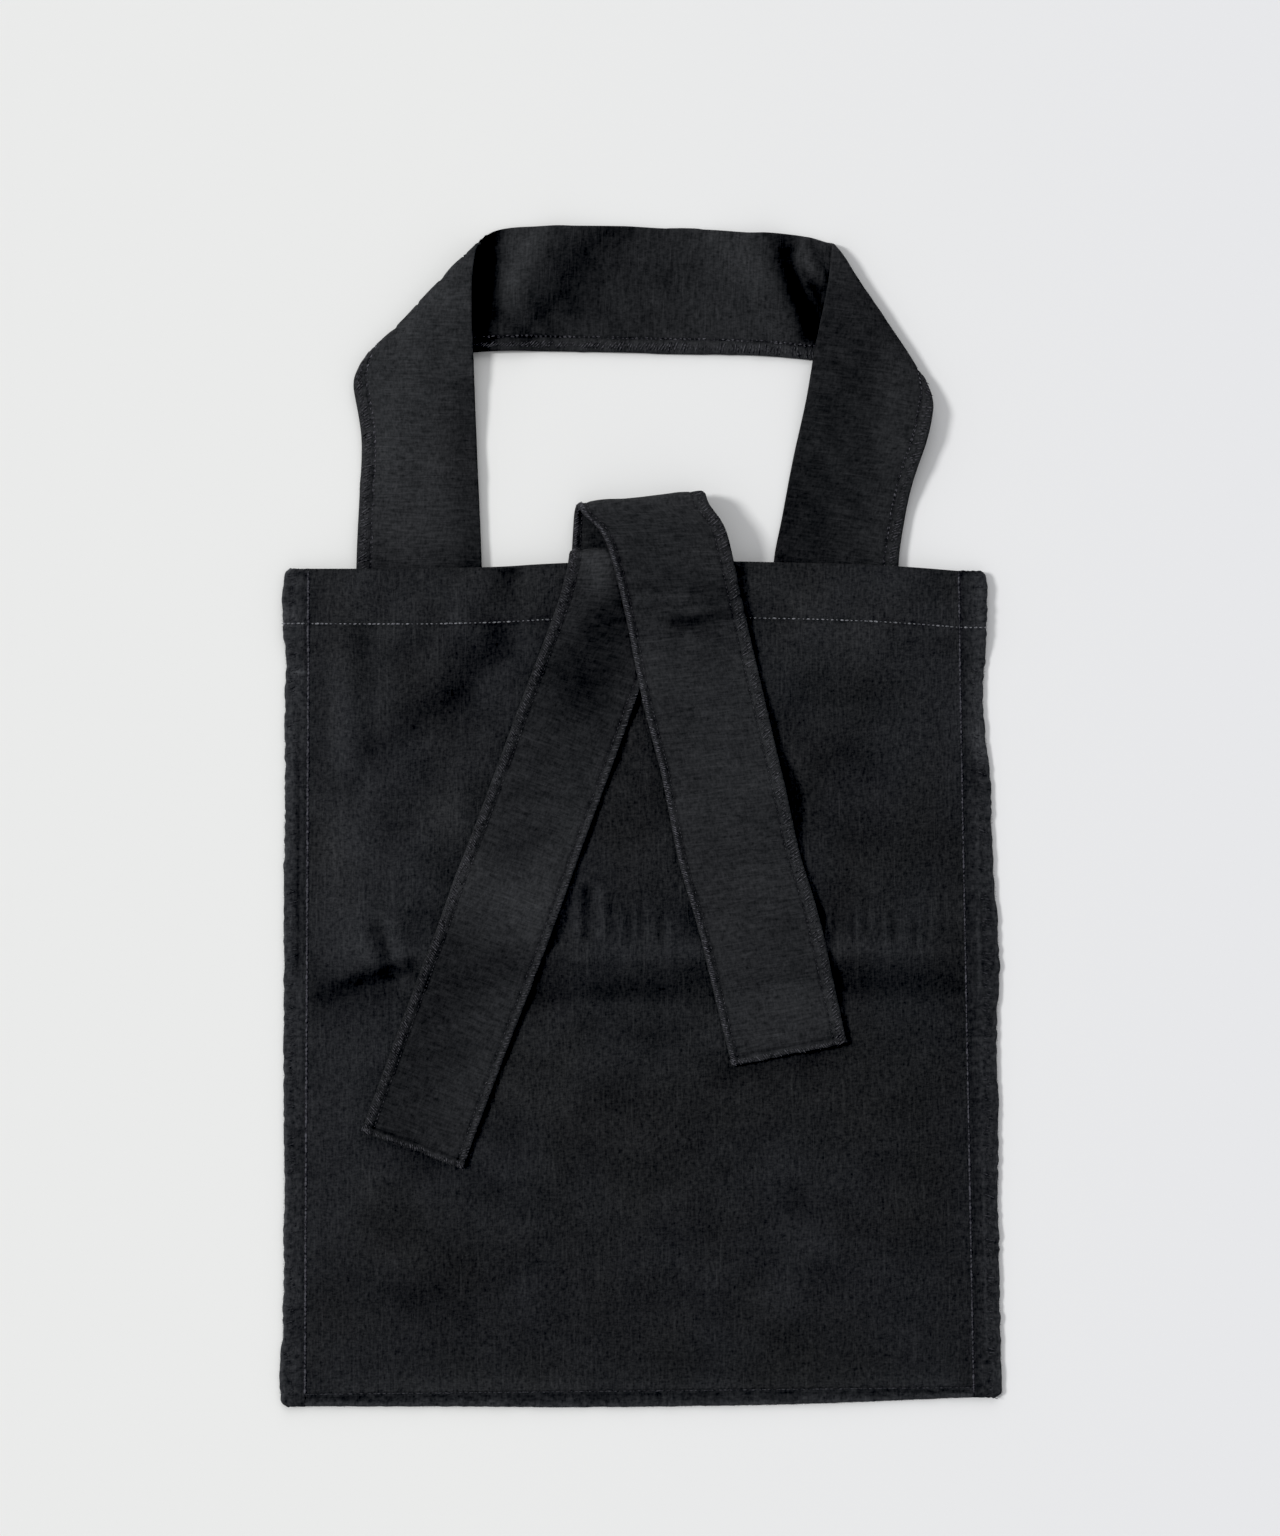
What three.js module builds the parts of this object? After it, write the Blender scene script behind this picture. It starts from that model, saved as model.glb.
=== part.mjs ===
import * as THREE from "three";

// A tote bag of soft washed linen that lies on its back, with a wide handle folded over at two
// corners and two wide ties that come out of its mouth and fall over the front.
// Lengths are in millimetres. X runs across the bag, Y from its bottom towards its handle, and Z up
// from the surface that it lies on.

// Cloth
const CLOTH = 1.1; // one layer of the bag's cloth
const STRAP = 1.8; // the handle and the ties, cloth sewn double
const GAP = 0.3; // clearance between pieces that touch

// Bag
const MOUTH_WIDTH = 350.5;
const BOTTOM_WIDTH = 360.5;
const BAG_HEIGHT = 419;
const MOUTH_SHIFT = -3; // the mouth's middle lies this far beside the bottom's middle
const LEFT_SEAM = 12; // width of the seam strips, from the bag's edge to the line of stitches
const RIGHT_SEAM = 14;
const BOTTOM_SEAM = 6;
const BOTTOM_RISE = 3.5; // how much higher the bottom's right end lies than its left end
const SEAM_ROUND = 0.8; // rounding along the outer edge of a seam strip
const CORNER_ROUND = 4; // rounding of the bag's corners, seen from above
const HEM_DEPTH = 28; // the hem that is turned in at the mouth
const HEM_STEP = 18; // length over which the front comes down from the thicker hem
const MOUTH_SLACK = 0.5; // free height left in the mouth above the straps that pass through it
const BODY_SLOPE = 80; // width over which the front rises from a seam
const MOUTH_SLOPE = 40; // the same at the mouth, where the straps hold the front up

// Folds in the front
const FOLD_WIDTH = 10;
const FOLD_HEIGHT = 2.4;

// Handle
const HANDLE_WIDTH = 62.5;
const HANDLE_RISE = 171; // from the mouth to the handle's top edge
const LEFT_LEG_INSET = 36; // from the bag's edge to the leg's outer edge, at the mouth
const RIGHT_LEG_INSET = 44;
const CORNER_LIFT = 8; // how far the folded corners stand up
const STRAP_TUCK = 24; // how far the straps reach into the mouth

// Ties
const LEFT_TIE_WIDTH = 54;
const LEFT_TIE_DROP = 290; // from the mouth down to the tie's end
const LEFT_TIE_SIDE = 107; // how far the tie's end lies to the left of where it starts
const LEFT_TIE_PLACE = -4; // beside the mouth's middle
const RIGHT_TIE_WIDTH = 58.5;
const RIGHT_TIE_DROP = 242.5;
const RIGHT_TIE_SIDE = 72.5;
const RIGHT_TIE_PLACE = 4;
const TIE_LIFT = 6; // how far the loose edges of the ties stand up

// Fineness of the meshes
const HEM_ARC_STEPS = 4;
const HEM_ROWS = 2;
const STRAP_COLUMNS = 4;
const STRAP_ARC_STEPS = 6;
const HANDLE_STEPS = 2; // from one row of the handle's tables to the next
const TIE_STEPS = 3;
const CORNER_STOPS = [0, 0.3, 1]; // places along a rounded corner, as shares of its radius

// Waves in the two side edges: up is a share of the bag's height, and left and right are shares of
// the seams' widths, outwards.
const SIDE_EDGES = [
  { up: 0, left: 0, right: 0 },
  { up: 0.03, left: 0.05, right: 0 },
  { up: 0.08, left: -0.03, right: 0 },
  { up: 0.25, left: -0.08, right: 0 },
  { up: 0.37, left: -0.06, right: 0.07 },
  { up: 0.44, left: -0.05, right: 0.07 },
  { up: 0.53, left: -0.04, right: 0.2 },
  { up: 0.6, left: -0.02, right: 0.13 },
  { up: 0.65, left: -0.02, right: 0.05 },
  { up: 0.75, left: -0.05, right: 0 },
  { up: 0.84, left: -0.03, right: -0.2 },
  { up: 0.89, left: -0.06, right: -0.1 },
  { up: 0.94, left: 0.11, right: 0 },
  { up: 1, left: 0, right: 0 },
];

// Waves in the two end edges, all upwards: across is a share of the panels' width, mouth a share of
// the hem's depth, and bottom a share of the bottom seam's width.
const END_EDGES = [
  { across: 0, mouth: -0.02, bottom: 0 },
  { across: 0.28, mouth: 0, bottom: -0.2 },
  { across: 0.39, mouth: 0.07, bottom: -0.3 },
  { across: 0.65, mouth: 0.1, bottom: -0.3 },
  { across: 0.7, mouth: 0.09, bottom: -0.28 },
  { across: 0.87, mouth: 0.035, bottom: -0.05 },
  { across: 1, mouth: -0.06, bottom: 0.2 },
];

// Folds, dents and gathers in the front, each along a straight line. Places are shares of the bag's
// width and height, width is a share of FOLD_WIDTH, and height a share of FOLD_HEIGHT, upwards.
const FOLDS = [
  // the crease where the bag was once folded in half, with a dip on either side
  { fromAcross: 0.03, fromUp: 0.54, toAcross: 0.98, toUp: 0.545, width: 0.9, height: 1 },
  { fromAcross: 0.05, fromUp: 0.5, toAcross: 0.97, toUp: 0.505, width: 0.9, height: -0.45 },
  { fromAcross: 0.42, fromUp: 0.585, toAcross: 0.97, toUp: 0.585, width: 0.8, height: -0.35 },
  // the pinch at its left end
  { fromAcross: 0.13, fromUp: 0.565, toAcross: 0.15, toUp: 0.52, width: 0.5, height: -1 },
  { fromAcross: 0.08, fromUp: 0.5, toAcross: 0.18, toUp: 0.525, width: 0.5, height: -0.8 },
  // gathers above the crease
  { fromAcross: 0.425, fromUp: 0.6, toAcross: 0.432, toUp: 0.555, width: 0.45, height: -0.8 },
  { fromAcross: 0.48, fromUp: 0.595, toAcross: 0.48, toUp: 0.565, width: 0.45, height: -0.5 },
  { fromAcross: 0.53, fromUp: 0.595, toAcross: 0.53, toUp: 0.565, width: 0.45, height: -0.45 },
  { fromAcross: 0.79, fromUp: 0.6, toAcross: 0.79, toUp: 0.56, width: 0.45, height: -0.5 },
  { fromAcross: 0.85, fromUp: 0.6, toAcross: 0.85, toUp: 0.56, width: 0.45, height: -0.45 },
  { fromAcross: 0.91, fromUp: 0.595, toAcross: 0.91, toUp: 0.56, width: 0.45, height: -0.5 },
  // soft slanting folds that run down from the mouth to the left
  { fromAcross: 0.3, fromUp: 0.95, toAcross: 0.1, toUp: 0.78, width: 1.5, height: 0.7 },
  { fromAcross: 0.36, fromUp: 0.9, toAcross: 0.16, toUp: 0.7, width: 1.4, height: -0.35 },
  { fromAcross: 0.75, fromUp: 0.88, toAcross: 0.93, toUp: 0.72, width: 1.6, height: 0.4 },
];

// Where the front panel's rows and columns lie: each row of the table says how many even steps lead
// on to that share of its height or width.
const FRONT_ROWS = [
  { to: 0.09, steps: 3 },
  { to: 0.43, steps: 5 },
  { to: 0.62, steps: 14 },
  { to: 0.89, steps: 7 },
  { to: 1, steps: 4 },
];
const FRONT_COLUMNS = [
  { to: 0.1, steps: 5 },
  { to: 0.17, steps: 5 },
  { to: 0.4, steps: 6 },
  { to: 0.55, steps: 9 },
  { to: 0.77, steps: 6 },
  { to: 0.93, steps: 8 },
  { to: 1, steps: 3 },
];
const BACK_ROWS = [
  { to: 0.89, steps: 10 },
  { to: 1, steps: 2 },
];
const BACK_COLUMNS = [{ to: 1, steps: 14 }];

// The handle, from the mouth round to the mouth. x is a share of the distance between its legs and
// y of its rise, both for the strap's middle. reachX and reachY lead from there to the edge inside
// the loop, as shares of the strap's width. seat is a share of the back hem's height, level counts
// straps underneath, and outer and inner are the lifts of the two edges as shares of CORNER_LIFT.
const LEFT_LEG = [
  { x: -0.5, y: 0.01, reachX: 0.5, reachY: 0, seat: 1, level: 0, outer: 0, inner: 0 },
  { x: -0.5, y: 0.2, reachX: 0.48, reachY: 0, seat: 0, level: 0, outer: 0, inner: 0.3 },
  { x: -0.5, y: 0.37, reachX: 0.46, reachY: 0, seat: 0, level: 0, outer: 0, inner: 0.4 },
  { x: -0.51, y: 0.53, reachX: 0.475, reachY: 0.11, seat: 0, level: 0.9, outer: 0, inner: 0.5 },
  { x: -0.515, y: 0.63, reachX: 0.48, reachY: 0.26, seat: 0, level: 1, outer: 0.05, inner: 0.9 },
  { x: -0.51, y: 0.71, reachX: 0.465, reachY: 0.37, seat: 0, level: 1, outer: 0.1, inner: 1 },
  { x: -0.49, y: 0.78, reachX: 0.44, reachY: 0.46, seat: 0, level: 1, outer: 0.15, inner: 0.9 },
];
const SPAN = [
  { x: -0.49, y: 0.78, reachX: 0.44, reachY: 0.46, seat: 0, level: 0, outer: 0, inner: 0 },
  { x: -0.39, y: 0.805, reachX: 0.31, reachY: 0.51, seat: 0, level: 0, outer: 0, inner: 0.05 },
  { x: -0.215, y: 0.815, reachX: 0.34, reachY: 0.5, seat: 0, level: 0, outer: 0.25, inner: 0.3 },
  { x: -0.08, y: 0.815, reachX: 0.28, reachY: 0.5, seat: 0, level: 0, outer: 0, inner: 0.1 },
  { x: 0.06, y: 0.81, reachX: 0.02, reachY: 0.5, seat: 0, level: 0, outer: 0, inner: 0.05 },
  { x: 0.24, y: 0.805, reachX: -0.22, reachY: 0.505, seat: 0, level: 0, outer: 0, inner: 0.1 },
  { x: 0.385, y: 0.79, reachX: -0.26, reachY: 0.51, seat: 0, level: 0, outer: 0.05, inner: 0.35 },
  { x: 0.51, y: 0.775, reachX: -0.32, reachY: 0.535, seat: 0, level: 0, outer: 0, inner: 0.1 },
  { x: 0.605, y: 0.737, reachX: -0.38, reachY: 0.57, seat: 0, level: 0, outer: 0, inner: 0 },
];
const RIGHT_LEG = [
  { x: 0.605, y: 0.737, reachX: -0.38, reachY: 0.57, seat: 0, level: 1, outer: 0.35, inner: 0.5 },
  { x: 0.605, y: 0.645, reachX: -0.425, reachY: 0.445, seat: 0, level: 1, outer: 0.5, inner: 0.6 },
  { x: 0.59, y: 0.545, reachX: -0.465, reachY: 0.29, seat: 0, level: 1, outer: 0.7, inner: 0.5 },
  { x: 0.573, y: 0.43, reachX: -0.48, reachY: 0.17, seat: 0, level: 0.8, outer: 0.7, inner: 0.3 },
  { x: 0.54, y: 0.28, reachX: -0.475, reachY: 0.1, seat: 0, level: 0.1, outer: 0.6, inner: 0.1 },
  { x: 0.517, y: 0.137, reachX: -0.485, reachY: 0.03, seat: 0.2, level: 0, outer: 0.3, inner: 0 },
  { x: 0.5, y: 0.01, reachX: -0.5, reachY: 0, seat: 1, level: 0, outer: 0, inner: 0 },
];

// The ties where they lie over the front, from the fold at the mouth to the free end. side and down
// are shares of the tie's own SIDE and DROP, and reachX and reachY lead to the right-hand edge as
// shares of its width. level counts straps underneath, and left and right are lifts of the two edges
// as shares of TIE_LIFT.
const LEFT_TIE = [
  { side: 0, down: -0.025, reachX: 0.53, reachY: 0.02, level: 0, left: 0, right: 0 },
  { side: 0.06, down: 0.066, reachX: 0.51, reachY: -0.06, level: 0, left: 0.05, right: 0 },
  { side: 0.155, down: 0.16, reachX: 0.48, reachY: -0.13, level: 0, left: 0.05, right: 0 },
  { side: 0.255, down: 0.26, reachX: 0.47, reachY: -0.17, level: 0, left: 0, right: 0.15 },
  { side: 0.35, down: 0.355, reachX: 0.47, reachY: -0.17, level: 0, left: 0, right: 0.1 },
  { side: 0.445, down: 0.45, reachX: 0.47, reachY: -0.17, level: 0, left: 0, right: 0.1 },
  { side: 0.54, down: 0.545, reachX: 0.475, reachY: -0.17, level: 0, left: 0.1, right: 0.15 },
  { side: 0.66, down: 0.665, reachX: 0.475, reachY: -0.175, level: 0, left: 0, right: 0.1 },
  { side: 0.815, down: 0.815, reachX: 0.47, reachY: -0.175, level: 0, left: 0, right: 0.15 },
  { side: 1, down: 1, reachX: 0.47, reachY: -0.17, level: 0, left: 0.05, right: 0.1 },
];
const RIGHT_TIE = [
  { side: 0, down: -0.12, reachX: 0.538, reachY: 0.043, level: 1, left: 0.3, right: 0.4 },
  { side: 0.128, down: -0.077, reachX: 0.526, reachY: 0.02, level: 1, left: 0.25, right: 0.4 },
  { side: 0.193, down: -0.02, reachX: 0.513, reachY: 0.017, level: 1, left: 0.05, right: 0.35 },
  { side: 0.286, down: 0.098, reachX: 0.5, reachY: 0.047, level: 1, left: 0.05, right: 0.25 },
  { side: 0.397, down: 0.254, reachX: 0.51, reachY: 0.05, level: 0.9, left: 0.05, right: 0.1 },
  { side: 0.52, down: 0.405, reachX: 0.5, reachY: 0.064, level: 0, left: 0.05, right: 0.5 },
  { side: 0.66, down: 0.6, reachX: 0.5, reachY: 0.056, level: 0, left: 0, right: 0.1 },
  { side: 0.786, down: 0.726, reachX: 0.513, reachY: 0.085, level: 0, left: 0, right: 0.35 },
  { side: 0.907, down: 0.88, reachX: 0.5, reachY: 0.085, level: 0, left: 0, right: 0.3 },
  { side: 1, down: 1, reachX: 0.49, reachY: 0.094, level: 0, left: 0.1, right: 0.15 },
];
// The parts of the ties inside the mouth, where side is still a share of SIDE.
const LEFT_TIE_INSIDE = { side: -0.08, reachX: 0.49, reachY: 0.12 };
const RIGHT_TIE_INSIDE = { side: -0.16, reachX: 0.498, reachY: -0.043 };
const RIGHT_TIE_AT_MOUTH = { side: -0.117, reachX: 0.498, reachY: -0.03 };
const RIGHT_LOOP_SEAT = 0.3; // how high the loop's lower side lies, as a share of the back hem

// Heights that follow from the cloth
const LAYER = CLOTH + GAP;
const STRAP_LAYER = STRAP + GAP;
const HEM_RADIUS = LAYER / 2;
const HEM_SEAT = 2 * LAYER; // on top of the back panel's hem
const MOUTH_HEIGHT = 2 * STRAP_LAYER + GAP + MOUTH_SLACK;
const FRONT_HEIGHT = 3 * LAYER + MOUTH_HEIGHT - GAP; // underside of the front where it is raised

const { lerp: mix, clamp } = THREE.MathUtils;
const smooth = (share) => THREE.MathUtils.smoothstep(share, 0, 1);
const swell = (share) => 1 - (1 - clamp(share, 0, 1)) ** 2;

// Reads one column of a table between its rows, with straight lines from row to row.
function read(table, key, column, at) {
  const next = table.findIndex((row) => row[key] >= at);
  if (next === 0) return table[0][column];
  if (next < 0) return table[table.length - 1][column];
  const a = table[next - 1];
  const b = table[next];
  return mix(a[column], b[column], (at - a[key]) / (b[key] - a[key]));
}

// Turns a table of even steps into the list of shares that it stands for.
function stops(table) {
  const shares = [0];
  for (const { to, steps } of table) {
    const from = shares[shares.length - 1];
    for (let i = 1; i <= steps; i += 1) shares.push(mix(from, to, i / steps));
  }
  return shares;
}

// The bag's straight seam lines, and its outline with the waves of its edges
const sideLine = (y, side) => {
  const mouth = MOUTH_SHIFT + (side * MOUTH_WIDTH) / 2;
  return mix((side * BOTTOM_WIDTH) / 2, mouth, y / BAG_HEIGHT);
};
const leftSeamX = (y) => sideLine(y, -1) + LEFT_SEAM;
const rightSeamX = (y) => sideLine(y, 1) - RIGHT_SEAM;
const bottomSeamY = (across) => BOTTOM_RISE * across + BOTTOM_SEAM;
const sideWave = (y, column) => read(SIDE_EDGES, "up", column, y / BAG_HEIGHT);
const leftEdge = (y) => sideLine(y, -1) - LEFT_SEAM * sideWave(y, "left");
const rightEdge = (y) => sideLine(y, 1) + RIGHT_SEAM * sideWave(y, "right");
const bottomY = (across) =>
  BOTTOM_RISE * across + BOTTOM_SEAM * read(END_EDGES, "across", "bottom", across);
const mouthY = (across) => BAG_HEIGHT + HEM_DEPTH * read(END_EDGES, "across", "mouth", across);
const hemFoldY = (across) => mouthY(across) - HEM_RADIUS - CLOTH / 2;
const panelX = (across, y) => mix(leftSeamX(y), rightSeamX(y), across);
const panelAcross = (x, y) => (x - leftSeamX(y)) / (rightSeamX(y) - leftSeamX(y));

// How far a place is inside the hem: 0 below it, 1 where the cloth is doubled.
const inHem = (across, y) => smooth((y - hemFoldY(across) + HEM_DEPTH) / HEM_STEP + 1);

// Height of the front's underside along a seam, where it lies on the back.
const edgeHeight = (across, y) => mix(LAYER, 3 * LAYER, inHem(across, y));

// How much all the folds raise or lower the front at a place.
const foldLines = FOLDS.map((fold) => {
  const place = (across, up) => {
    const y = up * BAG_HEIGHT;
    return new THREE.Vector3(mix(leftEdge(y), rightEdge(y), across), y, 0);
  };
  const from = place(fold.fromAcross, fold.fromUp);
  return {
    line: new THREE.Line3(from, place(fold.toAcross, fold.toUp)),
    width: fold.width * FOLD_WIDTH,
    height: fold.height * FOLD_HEIGHT,
  };
});

function foldRelief(x, y) {
  const here = new THREE.Vector3(x, y, 0);
  const nearest = new THREE.Vector3();
  return foldLines.reduce((sum, { line, width, height }) => {
    line.closestPointToPoint(here, true, nearest);
    return sum + height * Math.exp(-((nearest.distanceTo(here) / width) ** 2));
  }, 0);
}

// Height of the front panel's underside.
function frontUnder(across, y) {
  const x = panelX(across, y);
  const slope = mix(BODY_SLOPE, MOUTH_SLOPE, inHem(across, y));
  const raised =
    swell((x - leftSeamX(y)) / slope) *
    swell((rightSeamX(y) - x) / slope) *
    swell((y - bottomSeamY(across)) / BODY_SLOPE);
  return mix(edgeHeight(across, y), FRONT_HEIGHT + foldRelief(x, y), raised);
}

// Height at which a strap rests on the front. It bridges the small dents around a place.
function restHeight(x, y) {
  const span = FOLD_WIDTH / 2;
  let top = 0;
  for (const dx of [-span, 0, span]) {
    for (const dy of [-span, 0, span]) {
      const across = clamp(panelAcross(x + dx, y), 0, 1);
      const inside = Math.min(y + dy, hemFoldY(across));
      top = Math.max(top, frontUnder(across, inside) + CLOTH);
    }
  }
  return top + GAP;
}

// Makes a closed sheet of even thickness from a grid of points in its middle: grid[row][column].
function thickSheet(grid, thickness) {
  const rows = grid.length;
  const columns = grid[0].length;
  const side = rows * columns;
  const positions = new Float32Array(side * 6);
  const acrossWay = new THREE.Vector3();
  const alongWay = new THREE.Vector3();
  const shift = new THREE.Vector3();
  for (let i = 0; i < rows; i += 1) {
    for (let j = 0; j < columns; j += 1) {
      acrossWay.subVectors(grid[i][Math.min(j + 1, columns - 1)], grid[i][Math.max(j - 1, 0)]);
      alongWay.subVectors(grid[Math.min(i + 1, rows - 1)][j], grid[Math.max(i - 1, 0)][j]);
      shift.crossVectors(acrossWay, alongWay).setLength(thickness / 2);
      const at = i * columns + j;
      grid[i][j].clone().add(shift).toArray(positions, at * 3);
      grid[i][j].clone().sub(shift).toArray(positions, (side + at) * 3);
    }
  }
  const faces = [];
  const quad = (a, b, c, d) => faces.push(a, b, c, a, c, d);
  for (let i = 0; i + 1 < rows; i += 1) {
    for (let j = 0; j + 1 < columns; j += 1) {
      const a = i * columns + j;
      quad(a, a + 1, a + columns + 1, a + columns);
      quad(side + a, side + a + columns, side + a + columns + 1, side + a + 1);
    }
  }
  const rim = [];
  for (let j = 0; j + 1 < columns; j += 1) rim.push(j);
  for (let i = 0; i + 1 < rows; i += 1) rim.push(i * columns + columns - 1);
  for (let j = columns - 1; j > 0; j -= 1) rim.push((rows - 1) * columns + j);
  for (let i = rows - 1; i > 0; i -= 1) rim.push(i * columns);
  rim.forEach((a, k) => {
    const b = rim[(k + 1) % rim.length];
    quad(a, side + a, side + b, b);
  });
  return closedMesh(positions, faces);
}

// Joins rings with the same number of points, and closes both ends.
function loft(rings) {
  const count = rings[0].length;
  const positions = rings.flat().flatMap((point) => point.toArray());
  const faces = [];
  for (let i = 0; i + 1 < rings.length; i += 1) {
    for (let j = 0; j < count; j += 1) {
      const a = i * count + j;
      const b = i * count + ((j + 1) % count);
      faces.push(a, b + count, b, a, a + count, b + count);
    }
  }
  const last = (rings.length - 1) * count;
  for (let j = 1; j + 1 < count; j += 1) {
    faces.push(0, j, j + 1);
    faces.push(last, last + j + 1, last + j);
  }
  return closedMesh(positions, faces);
}

function closedMesh(positions, faces) {
  const geometry = new THREE.BufferGeometry();
  geometry.setAttribute("position", new THREE.Float32BufferAttribute(positions, 3));
  geometry.setIndex(faces);
  geometry.computeVertexNormals();
  return geometry;
}

// A panel with its hem: up from the bottom seam, over the fold at the mouth and down inside.
// middleZ gives the height of the cloth's middle, and inward is 1 where the hem lies above it.
function panel(rowTable, columnTable, middleZ, inward) {
  const columns = stops(columnTable);
  const point = (across, y, z) => new THREE.Vector3(panelX(across, y), y, z);
  const grid = stops(rowTable).map((up) =>
    columns.map((across) => {
      const y = mix(bottomSeamY(across), hemFoldY(across), up);
      return point(across, y, middleZ(across, y));
    }),
  );
  for (let i = 1; i < HEM_ARC_STEPS; i += 1) {
    const angle = (Math.PI * i) / HEM_ARC_STEPS;
    const out = HEM_RADIUS * Math.sin(angle);
    const rise = inward * HEM_RADIUS * (1 - Math.cos(angle));
    grid.push(
      columns.map((across) => {
        const fold = hemFoldY(across);
        return point(across, fold + out, middleZ(across, fold) + rise);
      }),
    );
  }
  for (let i = 0; i <= HEM_ROWS; i += 1) {
    grid.push(
      columns.map((across) => {
        const y = hemFoldY(across) - (HEM_DEPTH * i) / HEM_ROWS;
        return point(across, y, middleZ(across, y) + inward * LAYER);
      }),
    );
  }
  return thickSheet(grid, CLOTH);
}

const frontPanel = () =>
  panel(FRONT_ROWS, FRONT_COLUMNS, (across, y) => frontUnder(across, y) + CLOTH / 2, -1);

const backPanel = () => panel(BACK_ROWS, BACK_COLUMNS, () => CLOTH / 2, 1);

// The section of a seam strip: from its seam line out to its rounded edge and back.
// inner and outer are places across the strip, and outwards is the sign of the way between them.
function seamSection(inner, outer, height) {
  const outwards = Math.sign(outer - inner);
  const round = outer - outwards * SEAM_ROUND;
  return [
    [inner, 0],
    [round, 0],
    [outer, SEAM_ROUND],
    [outer, height - SEAM_ROUND],
    [round, height],
    [inner, height],
  ];
}

// A strip down one side of the bag. Its corners are rounded over their last few millimetres.
function sideSeam(across, edge, seamX, outwards) {
  const bottom = bottomY(across);
  const top = mouthY(across);
  const places = [
    ...CORNER_STOPS.map((share) => bottom + share * CORNER_ROUND),
    ...stops(BACK_ROWS)
      .slice(1, -1)
      .map((up) => mix(bottom + CORNER_ROUND, top - CORNER_ROUND, up)),
    ...SIDE_EDGES.slice(3, -1).map(({ up }) => up * BAG_HEIGHT),
    ...CORNER_STOPS.map((share) => top - share * CORNER_ROUND),
    hemFoldY(across) - HEM_DEPTH,
    hemFoldY(across) - HEM_DEPTH - HEM_STEP / 2,
    hemFoldY(across) - HEM_DEPTH - HEM_STEP,
  ].sort((a, b) => a - b);
  const rings = places.map((y) => {
    const near = clamp(Math.min(y - bottom, top - y) / CORNER_ROUND, 0, 1);
    const cut = CORNER_ROUND * (1 - Math.sqrt(near * (2 - near)));
    const outer = edge(y) - outwards * cut;
    const inner = seamX(y) + outwards * GAP;
    const height = edgeHeight(across, y) + CLOTH;
    return seamSection(inner, outer, height).map(([x, z]) => new THREE.Vector3(x, y, z));
  });
  return loft(outwards < 0 ? rings.map((ring) => ring.reverse()) : rings);
}

// The strip along the bottom, between the two side strips.
function bottomSeam() {
  const rings = stops(BACK_COLUMNS).map((across) => {
    const outer = bottomY(across);
    const inner = bottomSeamY(across) - GAP;
    return seamSection(inner, outer, LAYER + CLOTH).map(
      ([y, z]) => new THREE.Vector3(panelX(across, y), y, z),
    );
  });
  return loft(rings);
}

// Reads the rows of a strap as smooth lines, with a few even steps from each row to the next.
function alongRows(rows, steps) {
  const keys = Object.keys(rows[0]);
  const places = rows.map((row, i) => i);
  const values = rows.flatMap((row) => keys.map((key) => row[key]));
  const lines = new THREE.CubicInterpolant(places, values, keys.length);
  const count = (rows.length - 1) * steps;
  return Array.from({ length: count + 1 }, (none, i) => {
    const now = lines.evaluate(i / steps);
    return Object.fromEntries(keys.map((key, k) => [key, now[k]]));
  });
}

// The points across a strap, from the edge behind its middle to the edge that reach leads to.
// heightAt gives the strap's underside at a place and a share of the way across.
function strapRow(middle, reach, heightAt) {
  return Array.from({ length: STRAP_COLUMNS + 1 }, (none, i) => {
    const share = i / STRAP_COLUMNS;
    const x = middle.x + reach.x * (2 * share - 1);
    const y = middle.y + reach.y * (2 * share - 1);
    return new THREE.Vector3(x, y, heightAt(x, y, share) + STRAP / 2);
  });
}

// The soft turn where a strap folds back over itself, from one row to the row above or below it.
function turn(before, from, to) {
  const acrossWay = new THREE.Vector3().subVectors(from[from.length - 1], from[0]).setZ(0);
  const outwards = new THREE.Vector3(-acrossWay.y, acrossWay.x, 0).normalize();
  const travel = new THREE.Vector3().subVectors(from[1], before[1]);
  if (outwards.dot(travel) < 0) outwards.negate();
  return Array.from({ length: STRAP_ARC_STEPS - 1 }, (none, i) => {
    const angle = (Math.PI * (i + 1)) / STRAP_ARC_STEPS;
    return from.map((start, j) => {
      const radius = Math.abs(start.z - to[j].z) / 2;
      const point = start.clone().addScaledVector(outwards, radius * Math.sin(angle));
      return point.setZ(mix(start.z, to[j].z, (1 - Math.cos(angle)) / 2));
    });
  });
}

// The handle: up one leg, folded under itself, across, folded back over itself and down the other.
function handle() {
  const legSpread = MOUTH_WIDTH - LEFT_LEG_INSET - RIGHT_LEG_INSET - HANDLE_WIDTH;
  const middleX = MOUTH_SHIFT + (LEFT_LEG_INSET - RIGHT_LEG_INSET) / 2;
  const tucked = { y: -STRAP_TUCK / HANDLE_RISE, seat: 1, outer: 0, inner: 0 };
  const stretch = (rows) =>
    alongRows(rows, HANDLE_STEPS).map((row) => {
      const middle = {
        x: middleX + row.x * legSpread,
        y: BAG_HEIGHT + row.y * HANDLE_RISE,
      };
      const reach = { x: row.reachX * HANDLE_WIDTH, y: row.reachY * HANDLE_WIDTH };
      const base = row.seat * HEM_SEAT + row.level * STRAP_LAYER;
      const heightAt = (x, y, share) =>
        Math.max(0, base + CORNER_LIFT * mix(row.outer, row.inner, share));
      return strapRow(middle, reach, heightAt);
    });
  const left = stretch([{ ...LEFT_LEG[0], ...tucked }, ...LEFT_LEG]);
  const span = stretch(SPAN);
  const right = stretch([...RIGHT_LEG, { ...RIGHT_LEG[RIGHT_LEG.length - 1], ...tucked }]);
  const grid = [
    ...left,
    ...turn(left[left.length - 2], left[left.length - 1], span[0]),
    ...span,
    ...turn(span[span.length - 2], span[span.length - 1], right[0]),
    ...right,
  ];
  return thickSheet(grid, STRAP);
}

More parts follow.
